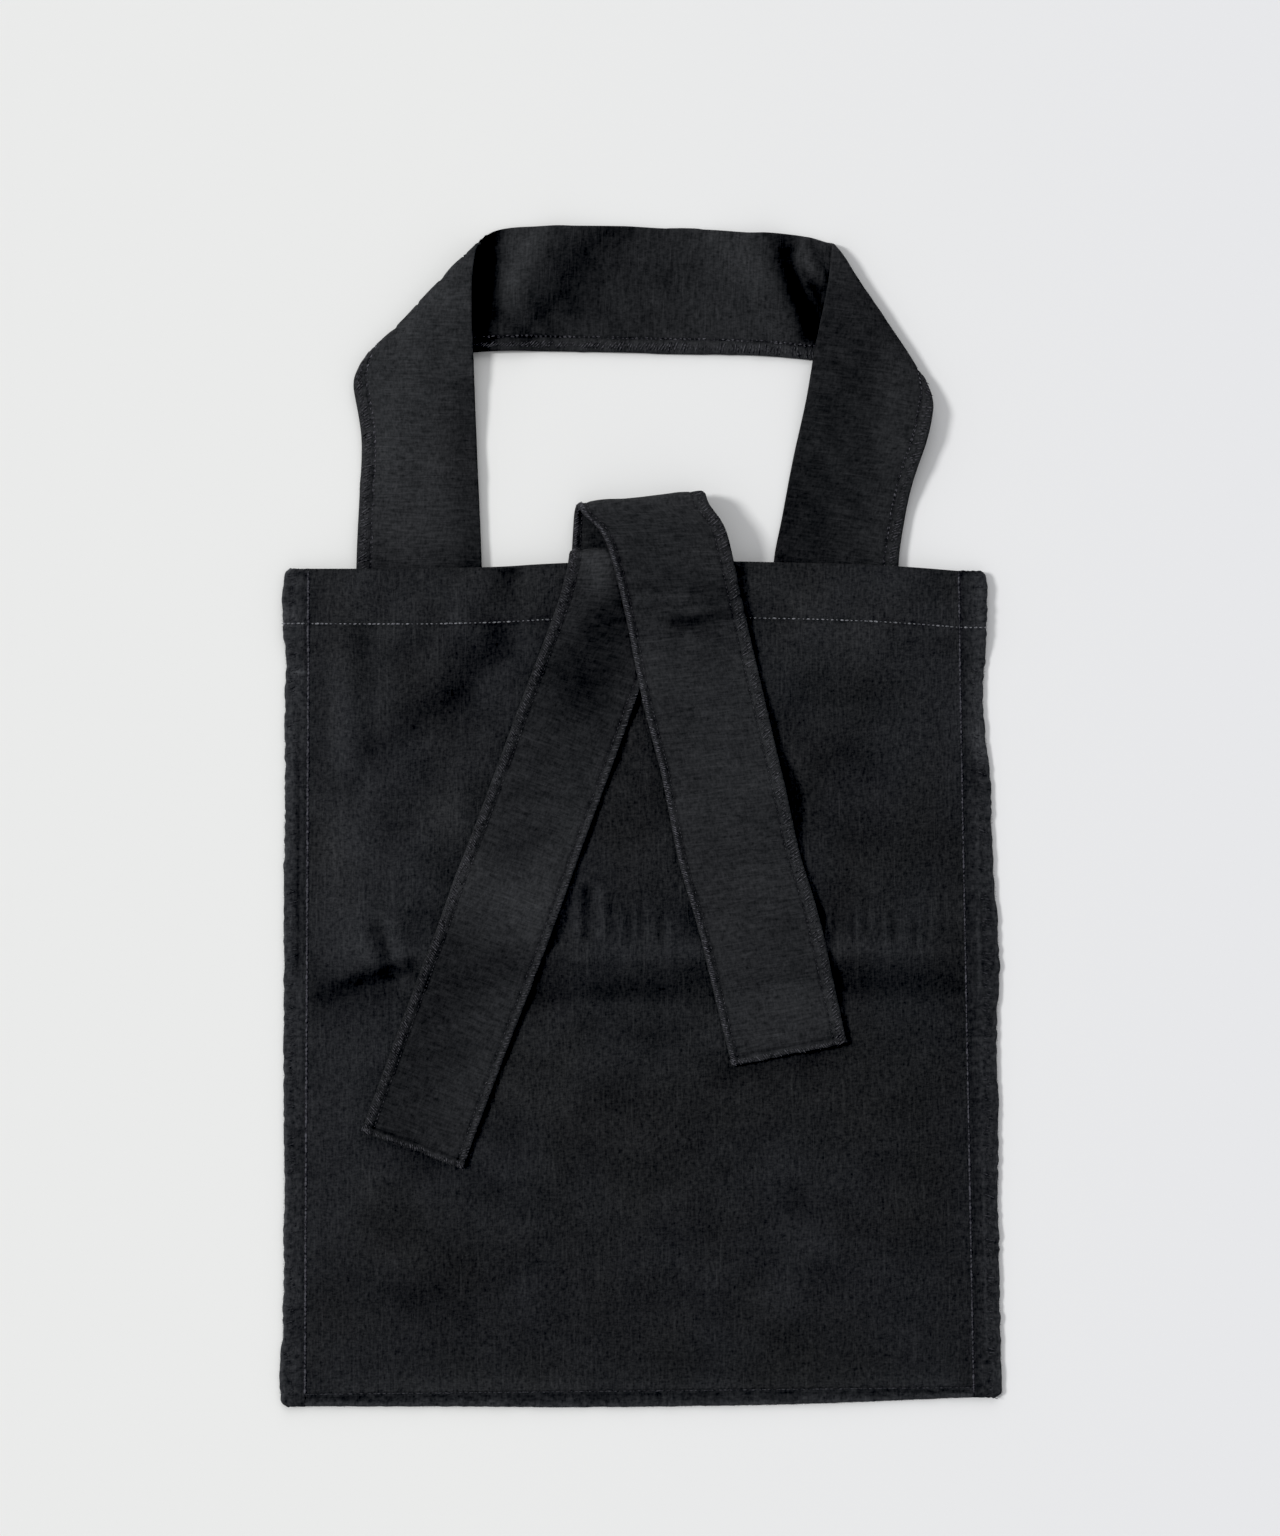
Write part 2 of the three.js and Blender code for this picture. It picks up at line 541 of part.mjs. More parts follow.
// A tie: its hidden start inside the mouth, given as rows with the height of the strap's underside,
// the turn over the mouth, and the long fall over the front.
function tie({ place, side, drop, width, inside, rows }) {
  const rowAt = (row, y, heightAt) => {
    const middle = { x: MOUTH_SHIFT + place + row.side * side, y };
    const reach = { x: row.reachX * width, y: row.reachY * width };
    return strapRow(middle, reach, heightAt);
  };
  const over = alongRows(rows, TIE_STEPS).map((row) =>
    rowAt(row, BAG_HEIGHT - row.down * drop, (x, y, share) => {
      const lift = row.level * STRAP_LAYER + TIE_LIFT * mix(row.left, row.right, share);
      return restHeight(x, y) + Math.max(0, lift);
    }),
  );
  const foldRow = { ...rows[0], height: inside[inside.length - 1].height };
  const hidden = [
    ...inside.slice(0, -1).map((row) => rowAt(row, row.y, () => row.height)),
    rowAt(foldRow, BAG_HEIGHT - foldRow.down * drop, () => foldRow.height),
  ];
  const folded = turn(hidden[hidden.length - 2], hidden[hidden.length - 1], over[0]);
  return thickSheet([...hidden, ...folded, ...over], STRAP);
}

// The left tie starts under the front panel's hem and turns closely over the mouth.
function leftTie() {
  const height = FRONT_HEIGHT - LAYER - STRAP_LAYER;
  return tie({
    place: LEFT_TIE_PLACE,
    side: -LEFT_TIE_SIDE,
    drop: LEFT_TIE_DROP,
    width: LEFT_TIE_WIDTH,
    inside: [{ ...LEFT_TIE_INSIDE, y: BAG_HEIGHT - STRAP_TUCK, height }, { height }],
    rows: LEFT_TIE,
  });
}

// The right tie starts on the back panel's hem and makes a loop above the mouth.
function rightTie() {
  return tie({
    place: RIGHT_TIE_PLACE,
    side: RIGHT_TIE_SIDE,
    drop: RIGHT_TIE_DROP,
    width: RIGHT_TIE_WIDTH,
    inside: [
      { ...RIGHT_TIE_INSIDE, y: BAG_HEIGHT - STRAP_TUCK, height: HEM_SEAT },
      { ...RIGHT_TIE_AT_MOUTH, y: mouthY(1 / 2), height: HEM_SEAT },
      { height: RIGHT_LOOP_SEAT * HEM_SEAT },
    ],
    rows: RIGHT_TIE,
  });
}

const bagLinen = new THREE.MeshStandardMaterial({ color: 0x222326, roughness: 0.95, metalness: 0 });
const seamLinen = new THREE.MeshStandardMaterial({ color: 0x262729, roughness: 1, metalness: 0 });
const strapLinen = new THREE.MeshStandardMaterial({ color: 0x26262b, roughness: 0.9, metalness: 0 });

const pieces = [
  ["back_panel", backPanel(), bagLinen],
  ["front_panel", frontPanel(), bagLinen],
  ["left_side_seam", sideSeam(0, leftEdge, leftSeamX, -1), seamLinen],
  ["right_side_seam", sideSeam(1, rightEdge, rightSeamX, 1), seamLinen],
  ["bottom_seam", bottomSeam(), seamLinen],
  ["handle", handle(), strapLinen],
  ["left_tie", leftTie(), strapLinen],
  ["right_tie", rightTie(), strapLinen],
];

const bag = new THREE.Group();
for (const [name, geometry, material] of pieces) {
  const mesh = new THREE.Mesh(geometry, material);
  mesh.name = name;
  bag.add(mesh);
}

// The origin lies on the surface, under the middle of the whole bag with its handle.
const reach = new THREE.Box3().setFromObject(bag);
const middle = reach.getCenter(new THREE.Vector3());
bag.position.set(-middle.x, -middle.y, -reach.min.z);

export default bag;
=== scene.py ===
import math

import bpy
import numpy as np
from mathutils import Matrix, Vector


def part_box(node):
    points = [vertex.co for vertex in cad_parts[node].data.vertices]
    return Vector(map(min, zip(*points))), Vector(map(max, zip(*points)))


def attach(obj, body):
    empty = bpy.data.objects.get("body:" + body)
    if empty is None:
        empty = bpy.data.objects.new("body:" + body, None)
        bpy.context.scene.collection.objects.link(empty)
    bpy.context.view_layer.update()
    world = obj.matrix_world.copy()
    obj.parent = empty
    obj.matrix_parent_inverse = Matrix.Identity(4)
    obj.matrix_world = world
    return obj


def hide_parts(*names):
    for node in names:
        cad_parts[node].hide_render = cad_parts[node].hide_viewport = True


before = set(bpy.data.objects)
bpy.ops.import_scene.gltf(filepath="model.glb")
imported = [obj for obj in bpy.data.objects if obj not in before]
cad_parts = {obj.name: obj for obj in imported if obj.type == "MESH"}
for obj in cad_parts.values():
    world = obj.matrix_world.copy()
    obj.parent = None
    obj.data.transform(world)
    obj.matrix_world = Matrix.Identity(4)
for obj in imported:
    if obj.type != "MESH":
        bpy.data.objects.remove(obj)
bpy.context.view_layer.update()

# A tote bag of soft black linen, lying flat. Lengths are in millimetres in the bag's own frame, as the
# part has them: X across the bag from the middle of its bottom, Y up from its bottom's left end.
MM = 0.001

# Cloth
CLOTH = 1.1
STRAP = 1.8
GAP = 0.3

# Bag
MOUTH_WIDTH = 350.5
BOTTOM_WIDTH = 360.5
BAG_HEIGHT = 419
MOUTH_SHIFT = -3
LEFT_SEAM = 12
RIGHT_SEAM = 14
BOTTOM_SEAM = 6
BOTTOM_RISE = 3.5
CORNER_ROUND = 4
HEM_DEPTH = 28
HEM_STEP = 18
MOUTH_SLACK = 0.5
BODY_SLOPE = 80
MOUTH_SLOPE = 40
FOLD_WIDTH = 10
FOLD_HEIGHT = 2.4

# Handle and ties
HANDLE_WIDTH = 62.5
HANDLE_RISE = 171
LEFT_LEG_INSET = 36
RIGHT_LEG_INSET = 44
CORNER_LIFT = 8
STRAP_TUCK = 24
LEFT_TIE_WIDTH = 54
LEFT_TIE_DROP = 290
LEFT_TIE_SIDE = 107
LEFT_TIE_PLACE = -4
RIGHT_TIE_WIDTH = 58.5
RIGHT_TIE_DROP = 242.5
RIGHT_TIE_SIDE = 72.5
RIGHT_TIE_PLACE = 4
TIE_LIFT = 6

# Heights that follow from the cloth
LAYER = CLOTH + GAP
STRAP_LAYER = STRAP + GAP
HEM_RADIUS = LAYER / 2
HEM_SEAT = 2 * LAYER
MOUTH_HEIGHT = 2 * STRAP_LAYER + GAP + MOUTH_SLACK
FRONT_HEIGHT = 3 * LAYER + MOUTH_HEIGHT - GAP

# Stitching
STITCH_PITCH = 2.4
STITCH_LENGTH = 2
THREAD = 0.9
SEAM_TUCK = 0.3

# Bound edges of the straps: how far in the rolled edge's ridge lies and how far it spreads, then the same
# of the groove that its stitches pull in
WIDE_EDGE = (2.4, 2.1, 5.4, 0.9)
NARROW_EDGE = (1.7, 1.4, 4.1, 0.9)
THIN_EDGE = (1.5, 1.3, 3.9, 1.1)
FLAT_EDGE = (3, 2.6, 6.3, 0.5)
HANDLE_EDGE = (3.2, 2.4, 7, 0.7)
LEFT_TIE_EDGES = [WIDE_EDGE, NARROW_EDGE, NARROW_EDGE]
RIGHT_TIE_EDGES = [THIN_EDGE, FLAT_EDGE, NARROW_EDGE]
EDGE_THREAD = 0.55
EDGE_SLANT = 0.55

# How softly the straps bend, and how full the handle's right fold and a tie's turn over the mouth are
HANDLE_SOFTNESS = 2.6
TIE_SOFTNESS = 1.8
SHARP_FOLD = 0.2
TIE_TURN = 0.8

# Frayed edges
FUZZ_HEIGHT = 1.4


def table(columns, *rows):
    """Named columns of numbers, with one tuple for each row of the table."""
    values = np.array(rows, float)
    return {name: values[:, i] for i, name in enumerate(columns.split())}


# Waves in the side edges, outwards, as shares of the seams' widths
SIDE_EDGES = table(
    "up left right",
    (0, 0, 0),
    (0.03, 0.05, 0),
    (0.08, -0.03, 0),
    (0.25, -0.08, 0),
    (0.37, -0.06, 0.07),
    (0.44, -0.05, 0.07),
    (0.53, -0.04, 0.2),
    (0.6, -0.02, 0.13),
    (0.65, -0.02, 0.05),
    (0.75, -0.05, 0),
    (0.84, -0.03, -0.2),
    (0.89, -0.06, -0.1),
    (0.94, 0.11, 0),
    (1, 0, 0),
)

# Waves in the mouth and the bottom, upwards, as shares of the hem's depth and the seam's width
END_EDGES = table(
    "across mouth bottom",
    (0, -0.02, 0),
    (0.28, 0, -0.2),
    (0.39, 0.07, -0.3),
    (0.65, 0.1, -0.3),
    (0.7, 0.09, -0.28),
    (0.87, 0.035, -0.05),
    (1, -0.06, 0.2),
)

# Folds in the front, as shares of the bag, of FOLD_WIDTH and of FOLD_HEIGHT
FOLDS = [
    (0.03, 0.54, 0.98, 0.545, 0.9, 1), (0.05, 0.5, 0.97, 0.505, 0.9, -0.45),
    (0.42, 0.585, 0.97, 0.585, 0.8, -0.35), (0.13, 0.565, 0.15, 0.52, 0.5, -1),
    (0.08, 0.5, 0.18, 0.525, 0.5, -0.8), (0.3, 0.95, 0.1, 0.78, 1.5, 0.7),
    (0.36, 0.9, 0.16, 0.7, 1.4, -0.35), (0.75, 0.88, 0.93, 0.72, 1.6, 0.4),
]

LEG_COLUMNS = "x y reach_x reach_y seat level outer inner"
LEFT_LEG = table(
    LEG_COLUMNS,
    (-0.5, -STRAP_TUCK / HANDLE_RISE, 0.5, 0, 1, 0, 0, 0),
    (-0.5, 0.01, 0.5, 0, 1, 0, 0, 0),
    (-0.5, 0.2, 0.48, 0, 0, 0, 0, 0.3),
    (-0.5, 0.37, 0.46, 0, 0, 0, 0, 0.4),
    (-0.51, 0.53, 0.475, 0.11, 0, 0.9, 0, 0.5),
    (-0.515, 0.63, 0.48, 0.26, 0, 1, 0.05, 0.9),
    (-0.51, 0.71, 0.465, 0.37, 0, 1, 0.1, 1),
    (-0.49, 0.78, 0.44, 0.46, 0, 1, 0.15, 0.9),
)
SPAN = table(
    LEG_COLUMNS,
    (-0.49, 0.78, 0.44, 0.46, 0, 0, 0, 0),
    (-0.39, 0.805, 0.31, 0.51, 0, 0, 0, 0.05),
    (-0.215, 0.815, 0.34, 0.5, 0, 0, 0.25, 0.3),
    (-0.08, 0.815, 0.28, 0.5, 0, 0, 0, 0.1),
    (0.06, 0.81, 0.02, 0.5, 0, 0, 0, 0.05),
    (0.24, 0.805, -0.22, 0.505, 0, 0, 0, 0.1),
    (0.385, 0.79, -0.26, 0.51, 0, 0, 0.05, 0.35),
    (0.51, 0.775, -0.32, 0.535, 0, 0, 0, 0.1),
    (0.605, 0.737, -0.38, 0.57, 0, 0, 0, 0),
)
RIGHT_LEG = table(
    LEG_COLUMNS,
    (0.605, 0.737, -0.38, 0.57, 0, 1, 0.35, 0.5),
    (0.605, 0.645, -0.425, 0.445, 0, 1, 0.5, 0.6),
    (0.59, 0.545, -0.465, 0.29, 0, 1, 0.7, 0.5),
    (0.573, 0.43, -0.48, 0.17, 0, 0.8, 0.7, 0.3),
    (0.54, 0.28, -0.475, 0.1, 0, 0.1, 0.6, 0.1),
    (0.517, 0.137, -0.485, 0.03, 0.2, 0, 0.3, 0),
    (0.5, 0.01, -0.5, 0, 1, 0, 0, 0),
    (0.5, -STRAP_TUCK / HANDLE_RISE, -0.5, 0, 1, 0, 0, 0),
)

TIE_COLUMNS = "side down reach_x reach_y level left right"
LEFT_TIE = table(
    TIE_COLUMNS,
    (0, -0.025, 0.53, 0.02, 0, 0, 0),
    (0.06, 0.066, 0.51, -0.06, 0, 0.05, 0),
    (0.155, 0.16, 0.48, -0.13, 0, 0.05, 0),
    (0.255, 0.26, 0.47, -0.17, 0, 0, 0.05),
    (0.35, 0.355, 0.47, -0.17, 0, 0, 0),
    (0.445, 0.45, 0.47, -0.17, 0, 0, 0),
    (0.54, 0.545, 0.475, -0.17, 0, 0.1, 0),
    (0.66, 0.665, 0.475, -0.175, 0, 0, 0.05),
    (0.815, 0.815, 0.47, -0.175, 0, 0, 0.05),
    (1, 1, 0.47, -0.17, 0, 0.05, 0.05),
)
RIGHT_TIE = table(
    TIE_COLUMNS,
    (0, -0.12, 0.538, 0.043, 1, 0.3, 0.4),
    (0.128, -0.077, 0.526, 0.02, 1, 0.25, 0.4),
    (0.193, -0.02, 0.513, 0.017, 1, 0.05, 0.3),
    (0.286, 0.098, 0.5, 0.047, 1, 0.05, -0.15),
    (0.397, 0.254, 0.51, 0.05, 0.9, 0.05, -0.2),
    (0.52, 0.405, 0.5, 0.064, 0, 0.05, 0.4),
    (0.574, 0.48, 0.504, 0.061, 0, 0.05, 1.05),
    (0.66, 0.6, 0.51, 0.06, 0, 0, 0.05),
    (0.786, 0.726, 0.507, 0.08, 0, 0, 0.1),
    (0.907, 0.88, 0.5, 0.085, 0, 0, 0.1),
    (1, 1, 0.49, 0.094, 0, 0.05, 0.1),
)
RIGHT_LOOP_SEAT = 0.3

# Finer creases that only show here, as lines in the bag's frame: where from, where to, width, height
FRONT_CREASES = [
    (-64, 421, -71, 381, 9, -1.6), (-71, 381, -90, 356, 10, -1.6), (-90, 356, -142, 321, 11, -1.4),
    (-84, 416, -104, 372, 9, 1.2), (-153, 376, -150, 322, 8, 1.6), (-139, 380, -137, 330, 7, -1.2),
    (-27, 258, -27, 236, 3, -1.6), (-20, 256, -21, 236, 3, 1.2), (-126, 240, -120, 222, 4, 1.2),
    (-142, 214, -118, 222, 4, -1.2),
]
SPAN_CREASES = [
    (-68, 546, -41, 585, 8, 2.6), (-50, 537, -17, 581, 8, -1.6), (62, 585, 83, 538, 7, 3.4),
    (75, 573, 92, 534, 4, -3.2), (84, 580, 92, 560, 3, 1.6), (20, 590, 24, 535, 16, -0.8),
]
TIE_CREASES = [
    (22, 396, 58, 403, 3.2, -0.7), (16, 391, 54, 397, 4, 0.6), (-2, 404, 20, 405, 3, -0.6),
    (26, 408, 48, 411, 3, 0.5), (24, 382, 54, 372, 5, -0.5), (-46, 391, -8, 377, 16, -0.7),
    (-42, 421, -16, 415, 8, 1.6), (-66, 330, -34, 318, 9, 0.9), (-72, 318, -40, 306, 6, -0.7),
    (-100, 268, -48, 246, 15, 2.4), (-110, 238, -62, 220, 12, -1.8), (36, 330, 70, 322, 8, 0.8),
    (56, 246, 92, 236, 12, 0.9),
]

# Painted light and shade: lighter where the cloth's folds face the light, darker where they face away or
# one layer shades another. Each is from, to, reach, and how much lighter
FRONT_PAINTED_SHADE = [
    (-142, 392, -132, 285, 34, 0.4), (-150, 180, -150, 30, 32, 0.25), (138, 385, 145, 320, 24, 0.5),
    (-140, 408, 130, 412, 12, 0.5), (-64, 419, -80, 396, 6, -0.9), (-88, 371, -120, 332, 13, -0.4),
    (-113, 354, -148, 307, 10, -0.4), (-152, 371, -150, 323, 7, 0.5),
    (-160, 209, -130, 216, 6, -0.8), (-119, 217, -113, 216, 3.5, -0.7),
    (-98, 211, -57, 209, 5, -0.8), (-40, 208, 20, 210, 6, -0.5), (102, 211, 162, 211, 8, -0.85),
    (96, 230, 158, 229, 4, 0.5), (88, 242, 155, 241, 7, -0.5), (92, 372, 104, 300, 20, -0.2),
    (-32, 226, 60, 228, 4, 0.4), (-129, 222, -118, 228, 2, 1), (-128, 238, -126, 226, 2.5, -0.5),
    (84, 388, 106, 384, 13, 1.2), (160, 410, 160, 340, 9, 0.8), (-150, 292, -148, 232, 14, 1),
    (-96, 310, -94, 284, 10, 0.9), (-40, 170, -52, 145, 12, 0.9), (-150, 7, 150, 10, 7, 0.7),
    (-112, 9, -34, 10, 9, 0.5), (-150, 60, -100, 60, 18, -0.5), (-160, 203, -130, 207, 9, -1),
    (-72, 206, -52, 205, 8, -1.1), (-20, 206, 6, 207, 7, -0.7), (110, 246, 164, 245, 9, 0.8),
    (-38, 248, -34, 240, 8, 0.9),
]
# On the seam strips: stitch lines, a light dash of thread and lighter patches, with painted light over the
# left strip, which faces the light
STRIP_MARKS_AND_PAINTED_SHADE = [
    (-174, 367, -169, 367, 1.1, 3.5), (-177, 397, -174, 396, 2.5, 1.5), (168, 334, 170, 325, 4, 2),
    (-173, 414, -171, 330, 4, 0.8), (-171, 215, -171, 150, 4, 0.6), (-174, 10, -171, 415, 9, 0.55),
    (172.3, 30, 167.1, 300, 0.8, 1.2), (170, 412, 167, 335, 5, 0.9),
    (-171.3, 348, -171.9, 215, 0.9, -1.4), (-175, 345, -175.5, 215, 1.3, 0.8),
]
LEFT_LEG_PAINTED_SHADE = [
    (-116, 435, -118, 535, 26, 0.5), (-127, 512, -130, 465, 12, 0.6),
    (-96, 566, -116, 540, 11, 0.7), (-88, 505, -86, 415, 10, -0.8), (-140, 420, -84, 420, 10, -0.5),
]
SPAN_PAINTED_SHADE = [
    (-60, 580, -66, 542, 7, 0.6), (-56, 532, -16, 586, 13, -1.5), (-10, 545, 16, 570, 22, -0.6),
    (38, 581, 60, 562, 9, 0.7), (-74, 527, 84, 524, 3.5, 0.7), (68, 566, 82, 536, 11, -0.8),
    (71, 584, 86, 541, 6, -1.6), (79, 577, 90, 561, 3, 1), (87, 560, 88, 545, 5, -1.6),
]
# Painted shadow that the left leg's raised edge casts onto the start of the span
SPAN_PAINTED_SHADOW = [(-78, 595, -81, 515, 9.5, -2.6)]
RIGHT_LEG_PAINTED_SHADE = [
    (88, 420, 104, 545, 32, -1.1), (73, 460, 70, 418, 13, -0.6), (128, 515, 122, 480, 9, 0.4),
    (96, 575, 108, 545, 7, 0.3),
]
LEFT_TIE_PAINTED_SHADE = [
    (-26, 426, -19, 414, 8, 1.7), (-12, 393, -32, 366, 22, -1.55), (-44, 344, -30, 334, 13, -0.2),
    (-24, 356, -14, 342, 12, -0.5), (-50, 330, -74, 280, 24, -0.5), (-62, 312, -34, 303, 3, -0.4),
    (-60, 300, -30, 292, 4, 0.4), (-88, 264, -52, 250, 13, 1), (-100, 234, -62, 222, 8, -0.8),
    (-98, 205, -122, 145, 26, -1),
]
RIGHT_TIE_PAINTED_SHADE = [
    (-12, 438, 46, 428, 8, -0.2), (0, 421, 46, 406, 13, -0.5), (20, 391, 46, 401, 5, -0.8),
    (40, 312, 70, 292, 17, -0.1), (6, 398, 36, 384, 12, -0.55), (58, 238, 92, 226, 13, -0.4),
    (70, 200, 100, 192, 8, 0.25),
]

# The fine gathers above the main crease
GATHERS_HEIGHT = 0.65
GATHERS_MIDDLE = 240
GATHERS_REACH = 9.5


def through(places, values, at):
    """A smooth line through values at places, read at every place in at."""
    places = np.asarray(places, float)
    values = np.asarray(values, float)
    slopes = np.gradient(values, places)
    rise = np.diff(values) / np.diff(places)
    slopes[0] = (3 * rise[0] - slopes[1]) / 2
    slopes[-1] = (3 * rise[-1] - slopes[-2]) / 2
    at = np.clip(at, places[0], places[-1])
    i = np.clip(np.searchsorted(places, at, side="right") - 1, 0, len(places) - 2)
    step = places[i + 1] - places[i]
    t = (at - places[i]) / step
    start = (1 + 2 * t) * (1 - t) ** 2 * values[i] + t * (1 - t) ** 2 * step * slopes[i]
    end = t * t * (3 - 2 * t) * values[i + 1] - t * t * (1 - t) * step * slopes[i + 1]
    return start + end


def mix(a, b, share):
    return a + (b - a) * share


def smooth(share):
    share = np.clip(share, 0, 1)
    return share * share * (3 - 2 * share)


def swell(share):
    return 1 - (1 - np.clip(share, 0, 1)) ** 2


def wander(seed, along, spacing):
    """A smooth random line between about -1 and 1 that turns every few millimetres."""
    count = int(np.max(along) / spacing) + 3
    heights = np.random.default_rng(seed).uniform(-1, 1, count)
    return through(np.arange(count) * spacing, heights, along)


def ripples(seed, x, y, length, waves=12):
    """Random low waves in all directions, about -1 to 1 high and of about that length."""
    draw = np.random.default_rng(seed)
    total = 0
    for _ in range(waves):
        angle = draw.uniform(0, 2 * math.pi)
        turn = 2 * math.pi / (length * draw.uniform(0.6, 1.7))
        phase = draw.uniform(0, 2 * math.pi)
        total = total + np.sin(turn * (x * math.cos(angle) + y * math.sin(angle)) + phase)
    return total / math.sqrt(waves)


def blur(heights, reach):
    """The same grid of heights with everything smaller than reach cells smoothed away."""
    kernel = np.hanning(2 * reach + 3)[1:-1]
    kernel /= kernel.sum()
    for axis in (0, 1):
        pads = [(reach, reach) if a == axis else (0, 0) for a in (0, 1)]
        wide = np.pad(heights, pads, mode="edge")
        heights = np.apply_along_axis(lambda line: np.convolve(line, kernel, "valid"), axis, wide)
    return heights


def graded(count, *dense):
    """Places from 0 to 1, closer together in each range by its own factor."""
    fine = np.linspace(0, 1, 2000)
    weight = 1
    for low, high, factor in dense:
        weight = weight + factor * smooth((fine - low) / 0.02) * smooth((high - fine) / 0.02)
    run = np.concatenate([[0], np.cumsum(weight[1:])])
    return np.interp(np.linspace(0, run[-1], count), run, fine)


def relief(lines, x, y, steepness=1):
    """Sum of the ridges and grooves along straight lines, at places in the bag's frame."""
    total = np.zeros(np.broadcast(x, y).shape)
    for from_x, from_y, to_x, to_y, width, height in lines:
        way_x, way_y = to_x - from_x, to_y - from_y
        share = ((x - from_x) * way_x + (y - from_y) * way_y) / (way_x**2 + way_y**2)
        share = np.clip(share, 0, 1)
        gap = (x - from_x - share * way_x) ** 2 + (y - from_y - share * way_y) ** 2
        total = total + height * np.exp(-((gap / width**2) ** steepness))
    return total


# The bag's outline
def side_line(y, side):
    mouth = MOUTH_SHIFT + side * MOUTH_WIDTH / 2
    return mix(side * BOTTOM_WIDTH / 2, mouth, y / BAG_HEIGHT)


def left_seam_x(y):
    return side_line(y, -1) + LEFT_SEAM


def right_seam_x(y):
    return side_line(y, 1) - RIGHT_SEAM


def side_wave(y, name):
    return through(SIDE_EDGES["up"], SIDE_EDGES[name], y / BAG_HEIGHT)


def left_edge(y):
    return side_line(y, -1) - LEFT_SEAM * side_wave(y, "left")


def right_edge(y):
    return side_line(y, 1) + RIGHT_SEAM * side_wave(y, "right")


def bottom_seam_y(across):
    return BOTTOM_RISE * across + BOTTOM_SEAM


def end_wave(across, name):
    return through(END_EDGES["across"], END_EDGES[name], across)


def bottom_y(across):
    return BOTTOM_RISE * across + BOTTOM_SEAM * end_wave(across, "bottom")


def mouth_y(across):
    return BAG_HEIGHT + HEM_DEPTH * end_wave(across, "mouth")


def hem_fold_y(across):
    return mouth_y(across) - HEM_RADIUS - CLOTH / 2


def panel_x(across, y):
    return mix(left_seam_x(y), right_seam_x(y), across)


def panel_across(x, y):
    return (x - left_seam_x(y)) / (right_seam_x(y) - left_seam_x(y))


def in_hem(across, y):
    return smooth((y - hem_fold_y(across) + HEM_DEPTH) / HEM_STEP + 1)


def edge_height(across, y):
    return mix(LAYER, 3 * LAYER, in_hem(across, y))


def fold_place(across, up):
    y = up * BAG_HEIGHT
    return mix(left_edge(y), right_edge(y), across), y


FOLD_LINES = [
    (*fold_place(a, b), *fold_place(c, d), width * FOLD_WIDTH, height * FOLD_HEIGHT)
    for a, b, c, d, width, height in FOLDS
]


def raised(across, y):
    """How far the front is raised off the back: 0 along its seams, 1 in its middle."""
    x = panel_x(across, y)
    slope = mix(BODY_SLOPE, MOUTH_SLOPE, in_hem(across, y))
    left = swell((x - left_seam_x(y)) / slope)
    right = swell((right_seam_x(y) - x) / slope)
    return left * right * swell((y - bottom_seam_y(across)) / BODY_SLOPE)


def gathers(x, y):
    """Fine upright gathers above the crease, of uneven length and depth."""
    along = x + BOTTOM_WIDTH
    fine = 0.7 * wander(23, along, 2.4) + 0.5 * wander(24, along, 5.2)
    top = GATHERS_MIDDLE + 5 * wander(25, along, 8)
    window = np.exp(-np.abs((y - top) / GATHERS_REACH) ** 2.6)
    strength = 0.25 + 0.75 * smooth((x + 42) / 10) * (1 - 0.75 * smooth(1 - np.abs(x - 62) / 28))
    strength = strength * (1 + 0.7 * smooth((x - 84) / 8))
    return GATHERS_HEIGHT * fine * window * strength


def front_relief(across, y):
    """Folds and crumples of the front, from the main crease down to the puckers at the seams."""
    x = panel_x(across, y)
    loose = raised(across, y)
    large = relief(FOLD_LINES, x, y) + relief(FRONT_CREASES, x, y) + gathers(x, y)
    soft = 0.7 * ripples(5, x, y, 52) + 0.12 * ripples(6, x, y, 22) + 0.03 * ripples(7, x, y, 11)
    soft = soft + 0.05 * wander(26, x + BOTTOM_WIDTH, 4.5)
    puckers = 0
    from_left, from_right = x - left_seam_x(y), right_seam_x(y) - x
    from_bottom = y - bottom_seam_y(across)
    from_hem = y - hem_fold_y(across) + HEM_DEPTH
    for seed, distance, along, reach in (
        (11, from_left, y, 7),
        (12, from_right, y, 8),
        (13, from_bottom, x + BOTTOM_WIDTH, 5),
        (14, np.abs(from_hem), x + BOTTOM_WIDTH, 4),
    ):
        fine = wander(seed, np.broadcast_to(along, loose.shape), 5.5)
        broad = wander(seed + 10, np.broadcast_to(along, loose.shape), 17)
        near = np.exp(-np.abs(distance) / reach)
        puckers = puckers + near * (0.28 * fine + 0.35 * broad)
    hem_line = -0.3 * np.exp(-(((from_hem - 1) / 1.3) ** 2))
    edge = smooth(np.minimum(np.minimum(from_left, from_right), from_bottom) / 3)
    return large * loose + (soft * loose + puckers + hem_line) * edge


def front_under(across, y):
    return mix(edge_height(across, y), FRONT_HEIGHT, raised(across, y)) + front_relief(across, y)


# Height at which a strap rests on the front, which bridges the small dents around each place
REST_CELL = 2
REST_SPAN = 2
rest_x = np.arange(-BOTTOM_WIDTH / 2, BOTTOM_WIDTH / 2, REST_CELL)
rest_y = np.arange(0, BAG_HEIGHT + HEM_DEPTH, REST_CELL)


def rest_raster():
    x, y = np.meshgrid(rest_x, rest_y, indexing="ij")
    across = np.clip(panel_across(x, y), 0, 1)
    top = front_under(across, np.minimum(y, hem_fold_y(across))) + CLOTH
    wide = np.pad(top, REST_SPAN, mode="edge")
    window = (2 * REST_SPAN + 1, 2 * REST_SPAN + 1)
    highest = np.lib.stride_tricks.sliding_window_view(wide, window).max(axis=(2, 3))
    return blur(highest, REST_SPAN) + GAP


REST = rest_raster()


